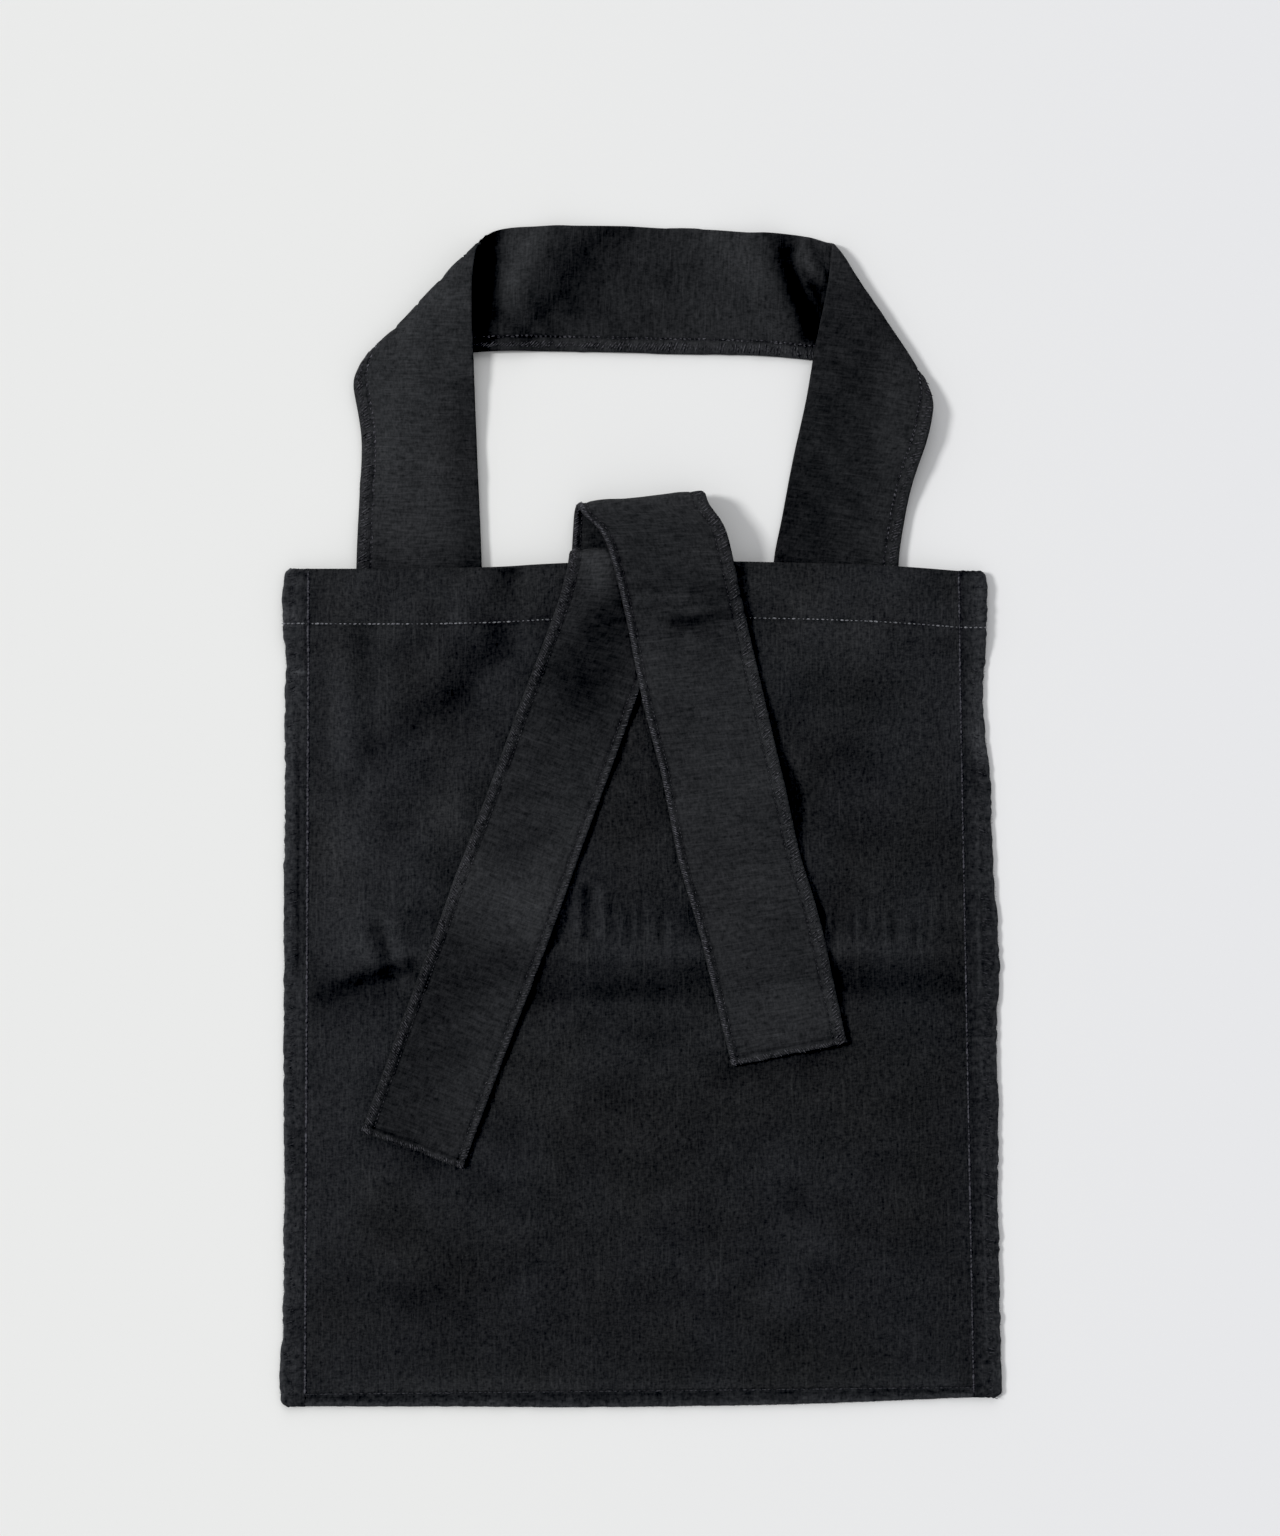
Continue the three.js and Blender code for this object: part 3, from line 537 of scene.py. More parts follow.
def rest_height(x, y):
    i = np.clip((x - rest_x[0]) / REST_CELL, 0, len(rest_x) - 1.001)
    j = np.clip((y - rest_y[0]) / REST_CELL, 0, len(rest_y) - 1.001)
    a, b = i.astype(int), j.astype(int)
    s, t = i - a, j - b
    near = mix(REST[a, b], REST[a + 1, b], s)
    far = mix(REST[a, b + 1], REST[a + 1, b + 1], s)
    return mix(near, far, t)


# Places in the frame that the part was packed in
ORIGIN = np.array([
    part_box("bottom_seam")[0].x / MM + BOTTOM_WIDTH / 2 - LEFT_SEAM,
    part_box("left_side_seam")[0].y / MM,
    0,
])


def placed(points):
    """Points of the bag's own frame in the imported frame, in metres."""
    return (points + ORIGIN) * MM


def unit(ways):
    return ways / np.maximum(np.linalg.norm(ways, axis=-1, keepdims=True), 1e-9)


def normals(grid):
    return unit(np.cross(np.gradient(grid, axis=1), np.gradient(grid, axis=0)))


def rounded(distance, thickness):
    """How thick a rounded edge is at a distance from it, as a share of the whole thickness."""
    share = np.clip(distance / (thickness * 0.55), 0, 1)
    return 0.16 + 0.84 * np.sqrt(share * (2 - share))


def run_lengths(grid):
    """Length along each column of a grid, from its first row."""
    steps = np.linalg.norm(np.diff(grid, axis=0), axis=-1)
    return np.vstack([np.zeros(grid.shape[1]), np.cumsum(steps, axis=0)])


def shown(name, data):
    piece = bpy.data.objects.new(name, data)
    bpy.context.scene.collection.objects.link(piece)
    return piece


def cloth(name, grid, thickness, across_length, along, painted_shading, material):
    """A closed sheet of cloth around a grid of points in its middle: grid[row, column].

    across_length and along say where each point lies in the weave.
    """
    rows, columns = grid.shape[:2]
    side = rows * columns
    shift = normals(grid) * thickness[..., None] / 2
    points = np.concatenate([(grid + shift).reshape(-1, 3), (grid - shift).reshape(-1, 3)])
    index = np.arange(side).reshape(rows, columns)
    a, b = index[:-1, :-1].ravel(), index[:-1, 1:].ravel()
    c, d = index[1:, 1:].ravel(), index[1:, :-1].ravel()
    rim = np.concatenate([index[0, :-1], index[:-1, -1], index[-1, :0:-1], index[:0:-1, 0]])
    after = np.roll(rim, -1)
    faces = np.concatenate([
        np.stack([a, b, c, d], 1),
        np.stack([a, d, c, b], 1) + side,
        np.stack([rim, rim + side, after + side, after], 1),
    ])
    weave = np.stack(np.broadcast_arrays(across_length, along), -1).reshape(-1, 2) * MM
    weave = np.concatenate([weave, weave])
    mesh = bpy.data.meshes.new(name)
    mesh.from_pydata(placed(points).tolist(), [], faces.tolist())
    mesh.validate()
    mesh.shade_smooth()
    uv = mesh.uv_layers.new(name="weave")
    uv.uv.foreach_set("vector", weave[faces.ravel()].astype(np.float32).ravel())
    # The painted light and shade of each point, which the material turns into lighter or darker colour
    painted_light_and_shade = mesh.attributes.new("painted_shading", "FLOAT", "POINT")
    both = np.concatenate([painted_shading.ravel(), painted_shading.ravel()])
    painted_light_and_shade.data.foreach_set("value", both.astype(np.float32))
    mesh.materials.append(material)
    return shown(name, mesh)


# Painted shade from the relief: lighter on crests, darker in hollows
def painted_fold_shade(heights, reach):
    return np.clip((heights - blur(heights, reach)) / 0.5, -1, 1)


def panel(name, across, up, middle, inward, heights, painted_shades, material):
    """A panel with its hem: up from the bottom, over the fold at the mouth and down inside."""
    across = across[None, :]
    fold = hem_fold_y(across)
    y = mix(bottom_seam_y(across), fold, up[:, None])
    # Painted light and shade: crests of the folds lighter and hollows darker, plus the painted shade table
    painted_shading = painted_fold_shade(heights(across, y), 5) + relief(painted_shades, panel_x(across, y), y)
    z = middle(across, y)
    angle = np.linspace(0, math.pi, 9)[1:-1, None]
    y = np.concatenate([y, fold + HEM_RADIUS * np.sin(angle)])
    z = np.concatenate([z, middle(across, fold) + inward * HEM_RADIUS * (1 - np.cos(angle))])
    down = np.linspace(0, HEM_DEPTH, 8)[:, None]
    y = np.concatenate([y, fold - down])
    z = np.concatenate([z, middle(across, fold - down) + inward * LAYER])
    x = panel_x(across, y)
    grid = np.stack([x, y, z], -1)
    run = run_lengths(grid)
    thickness = CLOTH * rounded(run[-1] - run, CLOTH)
    painted_shading = np.concatenate([painted_shading, np.zeros((len(y) - len(painted_shading), painted_shading.shape[1]))])
    return cloth(name, grid, thickness, x[:1] + BOTTOM_WIDTH / 2, run, painted_shading, material)


def seam_strip(name, along, inner, outer, height, seed, material):
    """A folded and overcast edge strip. inner and outer are its long sides, as points in plan."""
    shares = np.array([0, 6, 14, 22, 31, 40, 50, 60, 70, 79, 87, 93, 97, 99, 100]) / 100
    plan = mix(inner[:, None, :], outer[:, None, :], shares[None, :, None])
    width = np.linalg.norm(outer - inner, axis=-1)
    across = shares[None, :] * width[:, None]
    ridge = wander(seed, along, 2.3)[:, None] + 0.6 * wander(seed + 1, along, 1.7)[:, None]
    swing = smooth(shares * 4)[None, :]
    lumps = 0.16 * ripples(seed + 2, across * 1.4, along[:, None], 5, 16)
    puff = (0.12 * ridge + 0.2 * wander(seed + 3, along, 9)[:, None] + lumps) * swing
    puff = puff + 0.25 * np.exp(-(((shares[None, :] - 0.8) / 0.16) ** 2))
    edge = rounded((1 - shares)[None, :] * width[:, None], height[:, None])
    thick = np.maximum((height[:, None] + puff) * edge, 0.3)
    z = np.maximum(height[:, None] / 2 + puff / 2, thick / 2)
    grid = np.concatenate([plan, z[..., None]], -1)
    # Painted light and shade: puffs lighter, the strip's marks and painted light from its table, painted
    # shade in the dip beside the stitch line and a painted highlight along the outer rim
    painted_shading = np.clip(puff * 1.5, -1, 1) + relief(STRIP_MARKS_AND_PAINTED_SHADE, plan[..., 0], plan[..., 1])
    painted_shading = painted_shading - 0.6 * np.exp(-(((across - 1.7) / 0.8) ** 2))
    painted_shading = painted_shading + 2 * np.exp(-(((width[:, None] - across) / 1.5) ** 2))
    return cloth(name, grid, thick, shares * np.median(width), along[:, None], painted_shading, material)


def strap_columns(width):
    """Places across a strap, close together along its two edges."""
    edge = np.array([0, 0.12, 0.4, 0.9, 1.5, 2.2, 2.9, 3.5, 4.1, 4.8, 5.6, 6.4, 7, 7.6, 8.4, 9.3])
    middle = np.linspace(edge[-1], width - edge[-1], int((width - 2 * edge[-1]) / 2) + 1)[1:-1]
    return np.concatenate([edge, middle, width - edge[::-1]])


def along_rows(rows, scale_x, scale_y, spacing):
    """Reads the rows of a strap as smooth lines, in even steps along its middle."""
    x_name, y_name = list(rows)[:2]
    places = np.arange(len(rows[x_name]))
    dense = np.linspace(0, places[-1], 50 * places[-1] + 1)
    x = through(places, rows[x_name], dense) * scale_x
    y = through(places, rows[y_name], dense) * scale_y
    run = np.concatenate([[0], np.cumsum(np.hypot(np.diff(x), np.diff(y)))])
    tail = np.array([7, 5.9, 5, 4.2, 3.5, 2.8, 2.1, 1.5, 1, 0.6, 0.3, 0])
    even = np.linspace(0, run[-1] - 8, max(2, round((run[-1] - 8) / spacing)) + 1)
    even = np.concatenate([even, run[-1] - tail])
    at = np.interp(even, run, dense)
    return {name: through(places, column, at)[:, None] for name, column in rows.items()}


def turn(before, start, end, least=0.25, lean=0, full=1, steps=11):
    """The soft turn where a strap folds back over itself, between two rows of points.

    full is how far it stands out, least how much of that is left at its two edges, and lean how far it
    slips along itself as it turns.
    """
    across = start[-1] - start[0]
    outwards = unit(np.array([-across[1], across[0], 0]))
    if outwards @ (start[1] - before[1]) < 0:
        outwards = -outwards
    outwards = outwards + lean * unit(across)
    angle = np.linspace(0, math.pi, steps + 1)[1:-1, None, None]
    side = np.linalg.norm(start - start[0], axis=-1)
    from_edge = np.minimum(side, side[-1] - side)
    radius = full * np.abs(start[:, 2] - end[:, 2]) / 2 * mix(least, 1, smooth(from_edge / 14))
    radius = radius[None, :, None]
    return mix(start[None], end[None], (1 - np.cos(angle)) / 2) + outwards * radius * np.sin(angle)


def eased(grid, across, softness):
    """The same strap with its outline and its folds rounded, most of all along its two edges."""
    run = run_lengths(grid)
    made = np.empty_like(grid)
    for j, place in enumerate(across):
        from_edge = min(place, across[-1] - place)
        reach = 0.7 + softness * math.exp(-from_edge / 5)
        along = run[:, j]
        weight = np.exp(-(((along[:, None] - along[None, :]) / reach) ** 2) / 2)
        weight *= np.gradient(along)[None, :]
        ends = np.minimum(along, along[-1] - along) < 3 * reach
        weight /= weight.sum(1, keepdims=True)
        made[:, j] = weight @ grid[:, j]
        made[ends, j] = grid[ends, j]
    return made


def strap(name, grid, width, weave, creases, painted_shades, edges, softness, seed, material):
    """A strap around a grid of points in its middle, with its crumples and its bound edges.

    weave is how far along its own length each point of the strap lies. edges has what binds its first
    side, its last side and its end, or None for a plain one.
    """
    across = strap_columns(width)
    grid = eased(grid, across, softness)
    run = run_lengths(grid)
    left, right = across[None, :], (width - across)[None, :]
    tail = run[-1] - run
    wavy = 0.22 * wander(seed, run, 6) + 0.25 * wander(seed + 1, run, 17)
    other = 0.22 * wander(seed + 2, run, 6) + 0.25 * wander(seed + 3, run, 17)
    crumple = 0.07 * ripples(seed, left * 0.6, run, 8) + 0.34 * ripples(seed + 1, left * 0.7, run, 26)
    lift = wavy * np.exp(-left / 6) + other * np.exp(-right / 6) + crumple + creases
    grid = grid + normals(grid) * lift[..., None]
    if edges[2]:
        uneven = 0.5 * wander(seed + 8, across, 3) + 0.5 * wander(seed + 9, across, 11)
        grid = grid + unit(grid[-1] - grid[-8]) * (uneven * np.exp(-tail / 4))[..., None]
    ends = np.minimum(run, tail)
    thickness = STRAP * rounded(np.minimum(np.minimum(left, right), ends), STRAP)
    groove = np.zeros(run.shape)
    bead = np.zeros(run.shape)
    sides = zip((left, right, tail), (run, run, left + 0 * run), edges)
    for number, (side, along, edge) in enumerate(sides):
        if edge:
            ridge, spread, line, gap = edge
            uneven = wander(seed + 4 + number, along, 2.1)
            bead = bead + (0.3 + 0.14 * uneven) * np.exp(-(((side - ridge) / spread) ** 2))
            groove = groove + (0.42 + 0.16 * uneven) * np.exp(-(((side - line) / gap) ** 2))
    thickness = thickness * (1 - groove + bead)
    grid[..., 2] = np.maximum(grid[..., 2], thickness / 2 + bead)
    # Painted light and shade: crests lighter and hollows darker, a painted highlight along each rolled
    # edge, painted shade in the stitch grooves, and the painted shade table
    painted_shading = np.maximum(painted_fold_shade(lift, 4) + 1.3 * bead - 2.4 * groove + painted_shades, -2.9)
    piece = cloth(name, grid, thickness, across, weave, painted_shading, material)
    half = normals(grid) * (thickness / 2)[..., None]
    faces = {"top": grid + half, "under": grid - half}
    return {"piece": piece, "across": across, "tail": tail[:, len(across) // 2], **faces}


def handle_stretch(rows):
    spread = MOUTH_WIDTH - LEFT_LEG_INSET - RIGHT_LEG_INSET - HANDLE_WIDTH
    middle_x = MOUTH_SHIFT + (LEFT_LEG_INSET - RIGHT_LEG_INSET) / 2
    read = along_rows(rows, spread, HANDLE_RISE, 1.5)
    share = strap_columns(HANDLE_WIDTH)[None, :] / HANDLE_WIDTH
    x = middle_x + read["x"] * spread + read["reach_x"] * HANDLE_WIDTH * (2 * share - 1)
    y = BAG_HEIGHT + read["y"] * HANDLE_RISE + read["reach_y"] * HANDLE_WIDTH * (2 * share - 1)
    base = read["seat"] * HEM_SEAT + read["level"] * STRAP_LAYER
    z = np.maximum(0, base + CORNER_LIFT * mix(read["outer"], read["inner"], share)) + STRAP / 2
    return np.stack([x, y, z], -1)


def stretch_weave(part, start):
    """How far along the strap each point of a straight stretch lies, square to the way it runs."""
    first, last = part[[0, -1], :, :2].mean(axis=1)
    return start + (part[..., :2] - first) @ unit(last - first)


def handle(material):
    left, span, right = (handle_stretch(rows) for rows in (LEFT_LEG, SPAN, RIGHT_LEG))
    first = turn(left[-2], left[-1], span[0])
    second = turn(span[-2], span[-1], right[0], full=SHARP_FOLD)
    parts = [left, first, span, second, right]
    # The painted light and shade tables of each stretch
    marks = [LEFT_LEG_PAINTED_SHADE, [], SPAN_PAINTED_SHADE, [], RIGHT_LEG_PAINTED_SHADE]
    grid = np.concatenate(parts)
    painted_shades = np.concatenate([relief(mark, part[..., 0], part[..., 1]) for mark, part in zip(marks, parts)])
    creases = np.zeros(grid.shape[:2])
    start = len(left) + len(first)
    middle = slice(start, start + len(span))
    ends = np.linspace(0, 1, len(span))[:, None]
    calm = smooth(ends / 0.1) * smooth((1 - ends) / 0.1)
    creases[middle] = -relief(SPAN_CREASES, span[..., 0], span[..., 1]) * calm
    # Painted shadow that the left leg's raised edge casts onto the span
    painted_shades[middle] += relief(SPAN_PAINTED_SHADOW, span[..., 0], span[..., 1], 2)
    weave = [stretch_weave(left, 0)]
    for fold, stretch in ((first, span), (second, right)):
        run = stretch_weave(stretch, np.mean(weave[-1][-1]))
        steps = np.linspace(0, 1, len(fold) + 2)[1:-1, None]
        weave.extend([mix(weave[-1][-1], run[0], steps), run])
    weave = np.concatenate(weave)
    marks = (weave, creases, painted_shades, [HANDLE_EDGE, None, None])
    return strap("handle_strap", grid, HANDLE_WIDTH, *marks, HANDLE_SOFTNESS, 60, material)


def tie_rows(read, place, side, width, y, heights):
    share = strap_columns(width)[None, :] / width
    x = MOUTH_SHIFT + place + read["side"] * side + read["reach_x"] * width * (2 * share - 1)
    y = y + read["reach_y"] * width * (2 * share - 1)
    return np.stack([x, y, heights(x, y, share) + STRAP / 2], -1)


def tie(name, rows, place, side, drop, width, inside, lean, marks, edges, seed, material):
    """A tie: its start inside the mouth, the turn over the mouth, and its fall over the front."""
    read = along_rows(rows, side, drop, 1.5)

    def resting(x, y, share):
        lift = read["level"] * STRAP_LAYER + TIE_LIFT * mix(read["left"], read["right"], share)
        return rest_height(x, y) + np.maximum(0, lift)

    over = tie_rows(read, place, side, width, BAG_HEIGHT - read["down"] * drop, resting)
    start = {key: column[0, 0] for key, column in read.items()}
    start["y"] = BAG_HEIGHT - start["down"] * drop
    listed = [*inside[:-1], {**start, **inside[-1]}]
    steps = np.linspace(0, len(listed) - 1, 11 * (len(listed) - 1) + 1)
    part = {
        key: np.interp(steps, range(len(listed)), [row[key] for row in listed])[:, None]
        for key in ("side", "reach_x", "reach_y", "y", "height")
    }
    hidden = tie_rows(part, place, side, width, part["y"], lambda x, y, share: part["height"] + 0 * x)
    folded = turn(hidden[-2], hidden[-1], over[0], TIE_TURN, lean, TIE_TURN)
    grid = np.concatenate([hidden, folded, over])
    creases = np.zeros(grid.shape[:2])
    # Painted light and shade, from the tie's table, on the part that lies over the front
    painted_shades = np.zeros(grid.shape[:2])
    creases[-len(over) :] = relief(TIE_CREASES, over[..., 0], over[..., 1])
    painted_shades[-len(over) :] = relief(marks, over[..., 0], over[..., 1])
    if over[0, -1, 0] > over[0, 0, 0]:
        creases = -creases
    weave = np.mean(run_lengths(grid), axis=1, keepdims=True)
    return strap(name, grid, width, weave, creases, painted_shades, edges, TIE_SOFTNESS, seed, material)


def join(tree, node, sockets):
    """Links a node's sockets, or gives them their values."""
    for key, value in sockets.items():
        if isinstance(value, bpy.types.NodeSocket):
            tree.links.new(value, node.inputs[key])
        else:
            node.inputs[key].default_value = value


# One function adds a node with its settings, and its sockets' values or links
def add(tree, kind, sockets=None, **settings):
    node = tree.nodes.new(kind)
    for key, value in settings.items():
        setattr(node, key, value)
    join(tree, node, sockets or {})
    return node


def linear(hex_colour):
    """An sRGB hex colour as linear red, green, blue and alpha."""
    parts = [int(hex_colour[i : i + 2], 16) / 255 for i in (0, 2, 4)]
    made = [p / 12.92 if p <= 0.04045 else ((p + 0.055) / 1.055) ** 2.4 for p in parts]
    return (*made, 1)


def new_material(name):
    material = bpy.data.materials.new(name)
    material.use_nodes = True
    tree = material.node_tree
    shader = tree.nodes["Principled BSDF"]
    return material, tree, shader


def linen(name, dark, light, tint, lengthways, crosswise, slubs, fleck_size, flecked, contrast):
    """Washed linen in plain weave: uneven yarns that are matt, with slubs and a faint hairy sheen, made
    lighter or darker by the painted light and shade that each piece carries.

    lengthways and crosswise say how far the slubs run along the piece and across it, in millimetres.
    The yarns are about 0.5 mm apart, which is too fine to show, so they are drawn about twice as coarse.
    """
    yarn = 1.1
    material, tree, shader = new_material(name)
    place = add(tree, "ShaderNodeUVMap", uv_map="weave").outputs["UV"]

    def pattern(size_x, size_y, detail, low, high):
        scale = (1 / (size_x * MM), 1 / (size_y * MM), 1)
        at = add(tree, "ShaderNodeMapping", {"Vector": place, "Scale": scale}).outputs["Vector"]
        cloud = {"Vector": at, "Scale": 1.0, "Detail": detail, "Roughness": 0.6}
        noise = add(tree, "ShaderNodeTexNoise", cloud, noise_dimensions="2D").outputs["Fac"]
        limits = {"Value": noise, "From Min": low, "From Max": high}
        return add(tree, "ShaderNodeMapRange", limits).outputs["Result"]

    warp = pattern(yarn, lengthways, 2, 0.28, 0.72)
    weft = pattern(crosswise, yarn, 2, 0.28, 0.72)
    fleck = pattern(fleck_size, fleck_size, 3, 0.3, 0.7)
    patch = pattern(75, 95, 2, 0.35, 0.65)
    slub = pattern(*slubs, 1, 0.6, 0.78)
    yarns = add(tree, "ShaderNodeMix", {"Factor": 0.5, "A": warp, "B": weft}).outputs["Result"]
    grain = add(tree, "ShaderNodeMix", {"Factor": flecked, "A": yarns, "B": fleck}).outputs["Result"]
    knotted = {0: slub, 1: 0.18, 2: grain}
    knots = add(tree, "ShaderNodeMath", knotted, operation="MULTIPLY_ADD").outputs["Value"]
    dyed = {"Factor": knots, 6: linear(dark), 7: linear(light)}
    colour = add(tree, "ShaderNodeMix", dyed, data_type="RGBA").outputs[2]
    patched = {"Factor": patch, 6: (1, 1, 1, 1), 7: tint}
    hue = add(tree, "ShaderNodeMix", patched, data_type="RGBA").outputs[2]
    both = {"Factor": 1.0, 6: colour, 7: hue}
    tinted = add(tree, "ShaderNodeMix", both, data_type="RGBA", blend_type="MULTIPLY").outputs[2]
    # The painted light and shade that each piece carries make its colour lighter or darker
    painted_shading = add(tree, "ShaderNodeAttribute", attribute_name="painted_shading").outputs["Fac"]
    painted_shade_inputs = {0: painted_shading, 1: contrast, 2: 1.0}
    painted_shade_factor = add(tree, "ShaderNodeMath", painted_shade_inputs, operation="MULTIPLY_ADD").outputs["Value"]
    painted_light_and_shade = add(tree, "ShaderNodeVectorMath", {0: tinted, "Scale": painted_shade_factor}, operation="SCALE").outputs[0]
    raised_yarns = {"Height": knots, "Strength": 0.7, "Distance": 0.0006}
    bump = add(tree, "ShaderNodeBump", raised_yarns).outputs["Normal"]
    join(tree, shader, {"Base Color": painted_light_and_shade, "Normal": bump, "Roughness": 0.92, "Specular IOR Level": 0.05})
    join(tree, shader, {"Sheen Weight": 0.02, "Sheen Roughness": 0.55})
    return material


def thread(name, dark, light, roughness):
    """Spun thread: matt, a little lighter where it stands up into the light."""
    material, tree, shader = new_material(name)
    place = add(tree, "ShaderNodeTexCoord").outputs["Object"]
    noise = add(tree, "ShaderNodeTexNoise", {"Vector": place, "Scale": 800.0, "Detail": 1.0})
    limits = {"Value": noise.outputs["Fac"], "From Min": 0.36, "From Max": 0.64}
    spots = add(tree, "ShaderNodeMapRange", limits).outputs["Result"]
    dyed = {"Factor": spots, 6: linear(dark), 7: linear(light)}
    colour = add(tree, "ShaderNodeMix", dyed, data_type="RGBA").outputs[2]
    join(tree, shader, {"Base Color": colour, "Roughness": roughness, "Specular IOR Level": 0.2})
    return material


bag_linen = linen(
    "washed_linen_woven", "18191b", "353638", (0.94, 0.93, 0.9, 1), 4, 2.2, (2, 40), 3, 0.24, 0.3
)
seam_linen = linen("washed_linen_overcast", "161719", "353638", (1, 1, 1, 1), 3, 3, (2, 8), 2.4, 0.4, 0.4)
strap_linen = linen(
    "washed_linen_doubled", "202122", "3b3c3e", (0.97, 0.96, 0.96, 1), 2.2, 8, (22, 1.6), 3, 0.32, 0.3
)
topstitch = thread("cotton_topstitch_thread", "4c4d52", "84858a", 0.8)
strap_stitch = thread("cotton_strap_thread", "1a1a1d", "48484c", 0.85)
edge_thread = thread("cotton_overcast_thread", "1e1e20", "535358", 0.85)
light_thread = thread("cotton_overcast_thread_light", "28282c", "606066", 0.85)
side_thread = thread("cotton_side_thread", "26262a", "505056", 0.85)
seam_thread = thread("cotton_seam_thread", "1c1d1f", "404145", 0.85)
fibre = thread("linen_fibre_frayed", "2a2b2e", "58585d", 0.9)

# The two panels and their seam strips
front_columns = [graded(190, (0.395, 0.575, 0.9), (0.75, 0.98, 0.9)), [0.001, 0.999]]
front = panel(
    "front_cloth", np.unique(np.concatenate(front_columns)), graded(230, (0.47, 0.6, 0.8)),
    lambda across, y: front_under(across, y) + CLOTH / 2, -1, front_relief, FRONT_PAINTED_SHADE, bag_linen,
)


def level(across, y):
    """No relief: the back lies flat."""
    return 0 * panel_x(across, y)


def back_middle(across, y):
    return CLOTH / 2 + level(across, y)


back_columns, back_rows = np.linspace(0, 1, 60), np.linspace(0, 1, 70)
back = panel("back_cloth", back_columns, back_rows, back_middle, 1, level, [], bag_linen)


def side_strip(name, across, edge, seam_x, outwards, seed):
    bottom, top = float(bottom_y(across)), float(mouth_y(across))
    ends = CORNER_ROUND * np.array([0, 0.05, 0.15, 0.3, 0.5, 0.75, 1])
    middle = np.linspace(bottom + CORNER_ROUND, top - CORNER_ROUND, 400)[1:-1]
    y = np.concatenate([bottom + ends, middle, (top - ends)[::-1]])
    near = np.clip(np.minimum(y - bottom, top - y) / CORNER_ROUND, 0, 1)
    cut = CORNER_ROUND * (1 - np.sqrt(near * (2 - near)))
    ragged = 0.4 * wander(seed + 5, y + 10, 2.4) + 0.25 * wander(seed + 6, y + 10, 8)
    outer = np.stack([edge(y) - outwards * (cut + (ragged + 0.2) * near), y], -1)
    inner = np.stack([seam_x(y) - outwards * SEAM_TUCK, y], -1)
    height = edge_height(across, y) + CLOTH
    piece = seam_strip(name, y + 10, inner, outer, height, seed, seam_linen)
    if outwards < 0:
        piece.data.flip_normals()
    return piece


left_strip = side_strip("left_seam_cloth", 0, left_edge, left_seam_x, -1, 71)
right_strip = side_strip("right_seam_cloth", 1, right_edge, right_seam_x, 1, 81)
bottom_across = np.linspace(0, 1, 240)
bottom_inner = bottom_seam_y(bottom_across) + SEAM_TUCK
bottom_outer = bottom_y(bottom_across) + 0.3 * np.abs(wander(92, bottom_across * BOTTOM_WIDTH, 2.4))
bottom_strip = seam_strip(
    "bottom_seam_cloth",
    bottom_across * BOTTOM_WIDTH,
    np.stack([panel_x(bottom_across, bottom_inner), bottom_inner], -1),
    np.stack([panel_x(bottom_across, bottom_outer), bottom_outer], -1),
    np.full(len(bottom_across), LAYER + CLOTH),
    91,
    seam_linen,
)
bottom_strip.data.flip_normals()

# The handle and the ties
handle_strap = handle(strap_linen)
LEFT_TIE_HEIGHT = FRONT_HEIGHT - LAYER - STRAP_LAYER
TUCKED_Y = BAG_HEIGHT - STRAP_TUCK
left_inside = [
    {"side": -0.08, "reach_x": 0.49, "reach_y": 0.12, "y": TUCKED_Y, "height": LEFT_TIE_HEIGHT},
    {"height": LEFT_TIE_HEIGHT},
]
right_inside = [
    {"side": -0.16, "reach_x": 0.498, "reach_y": -0.043, "y": TUCKED_Y, "height": HEM_SEAT},
    {"side": -0.095, "reach_x": 0.498, "reach_y": -0.03, "y": float(mouth_y(0.5)), "height": HEM_SEAT},
    {"side": -0.045, "height": RIGHT_LOOP_SEAT * HEM_SEAT},
]
left_tie = tie(
    "left_tie_strap", LEFT_TIE, LEFT_TIE_PLACE, -LEFT_TIE_SIDE, LEFT_TIE_DROP, LEFT_TIE_WIDTH,
    left_inside, 0, LEFT_TIE_PAINTED_SHADE, LEFT_TIE_EDGES, 30, strap_linen,
)
right_tie = tie(
    "right_tie_strap", RIGHT_TIE, RIGHT_TIE_PLACE, RIGHT_TIE_SIDE, RIGHT_TIE_DROP, RIGHT_TIE_WIDTH,
    right_inside, 0.1, RIGHT_TIE_PAINTED_SHADE, RIGHT_TIE_EDGES, 40, strap_linen,
)


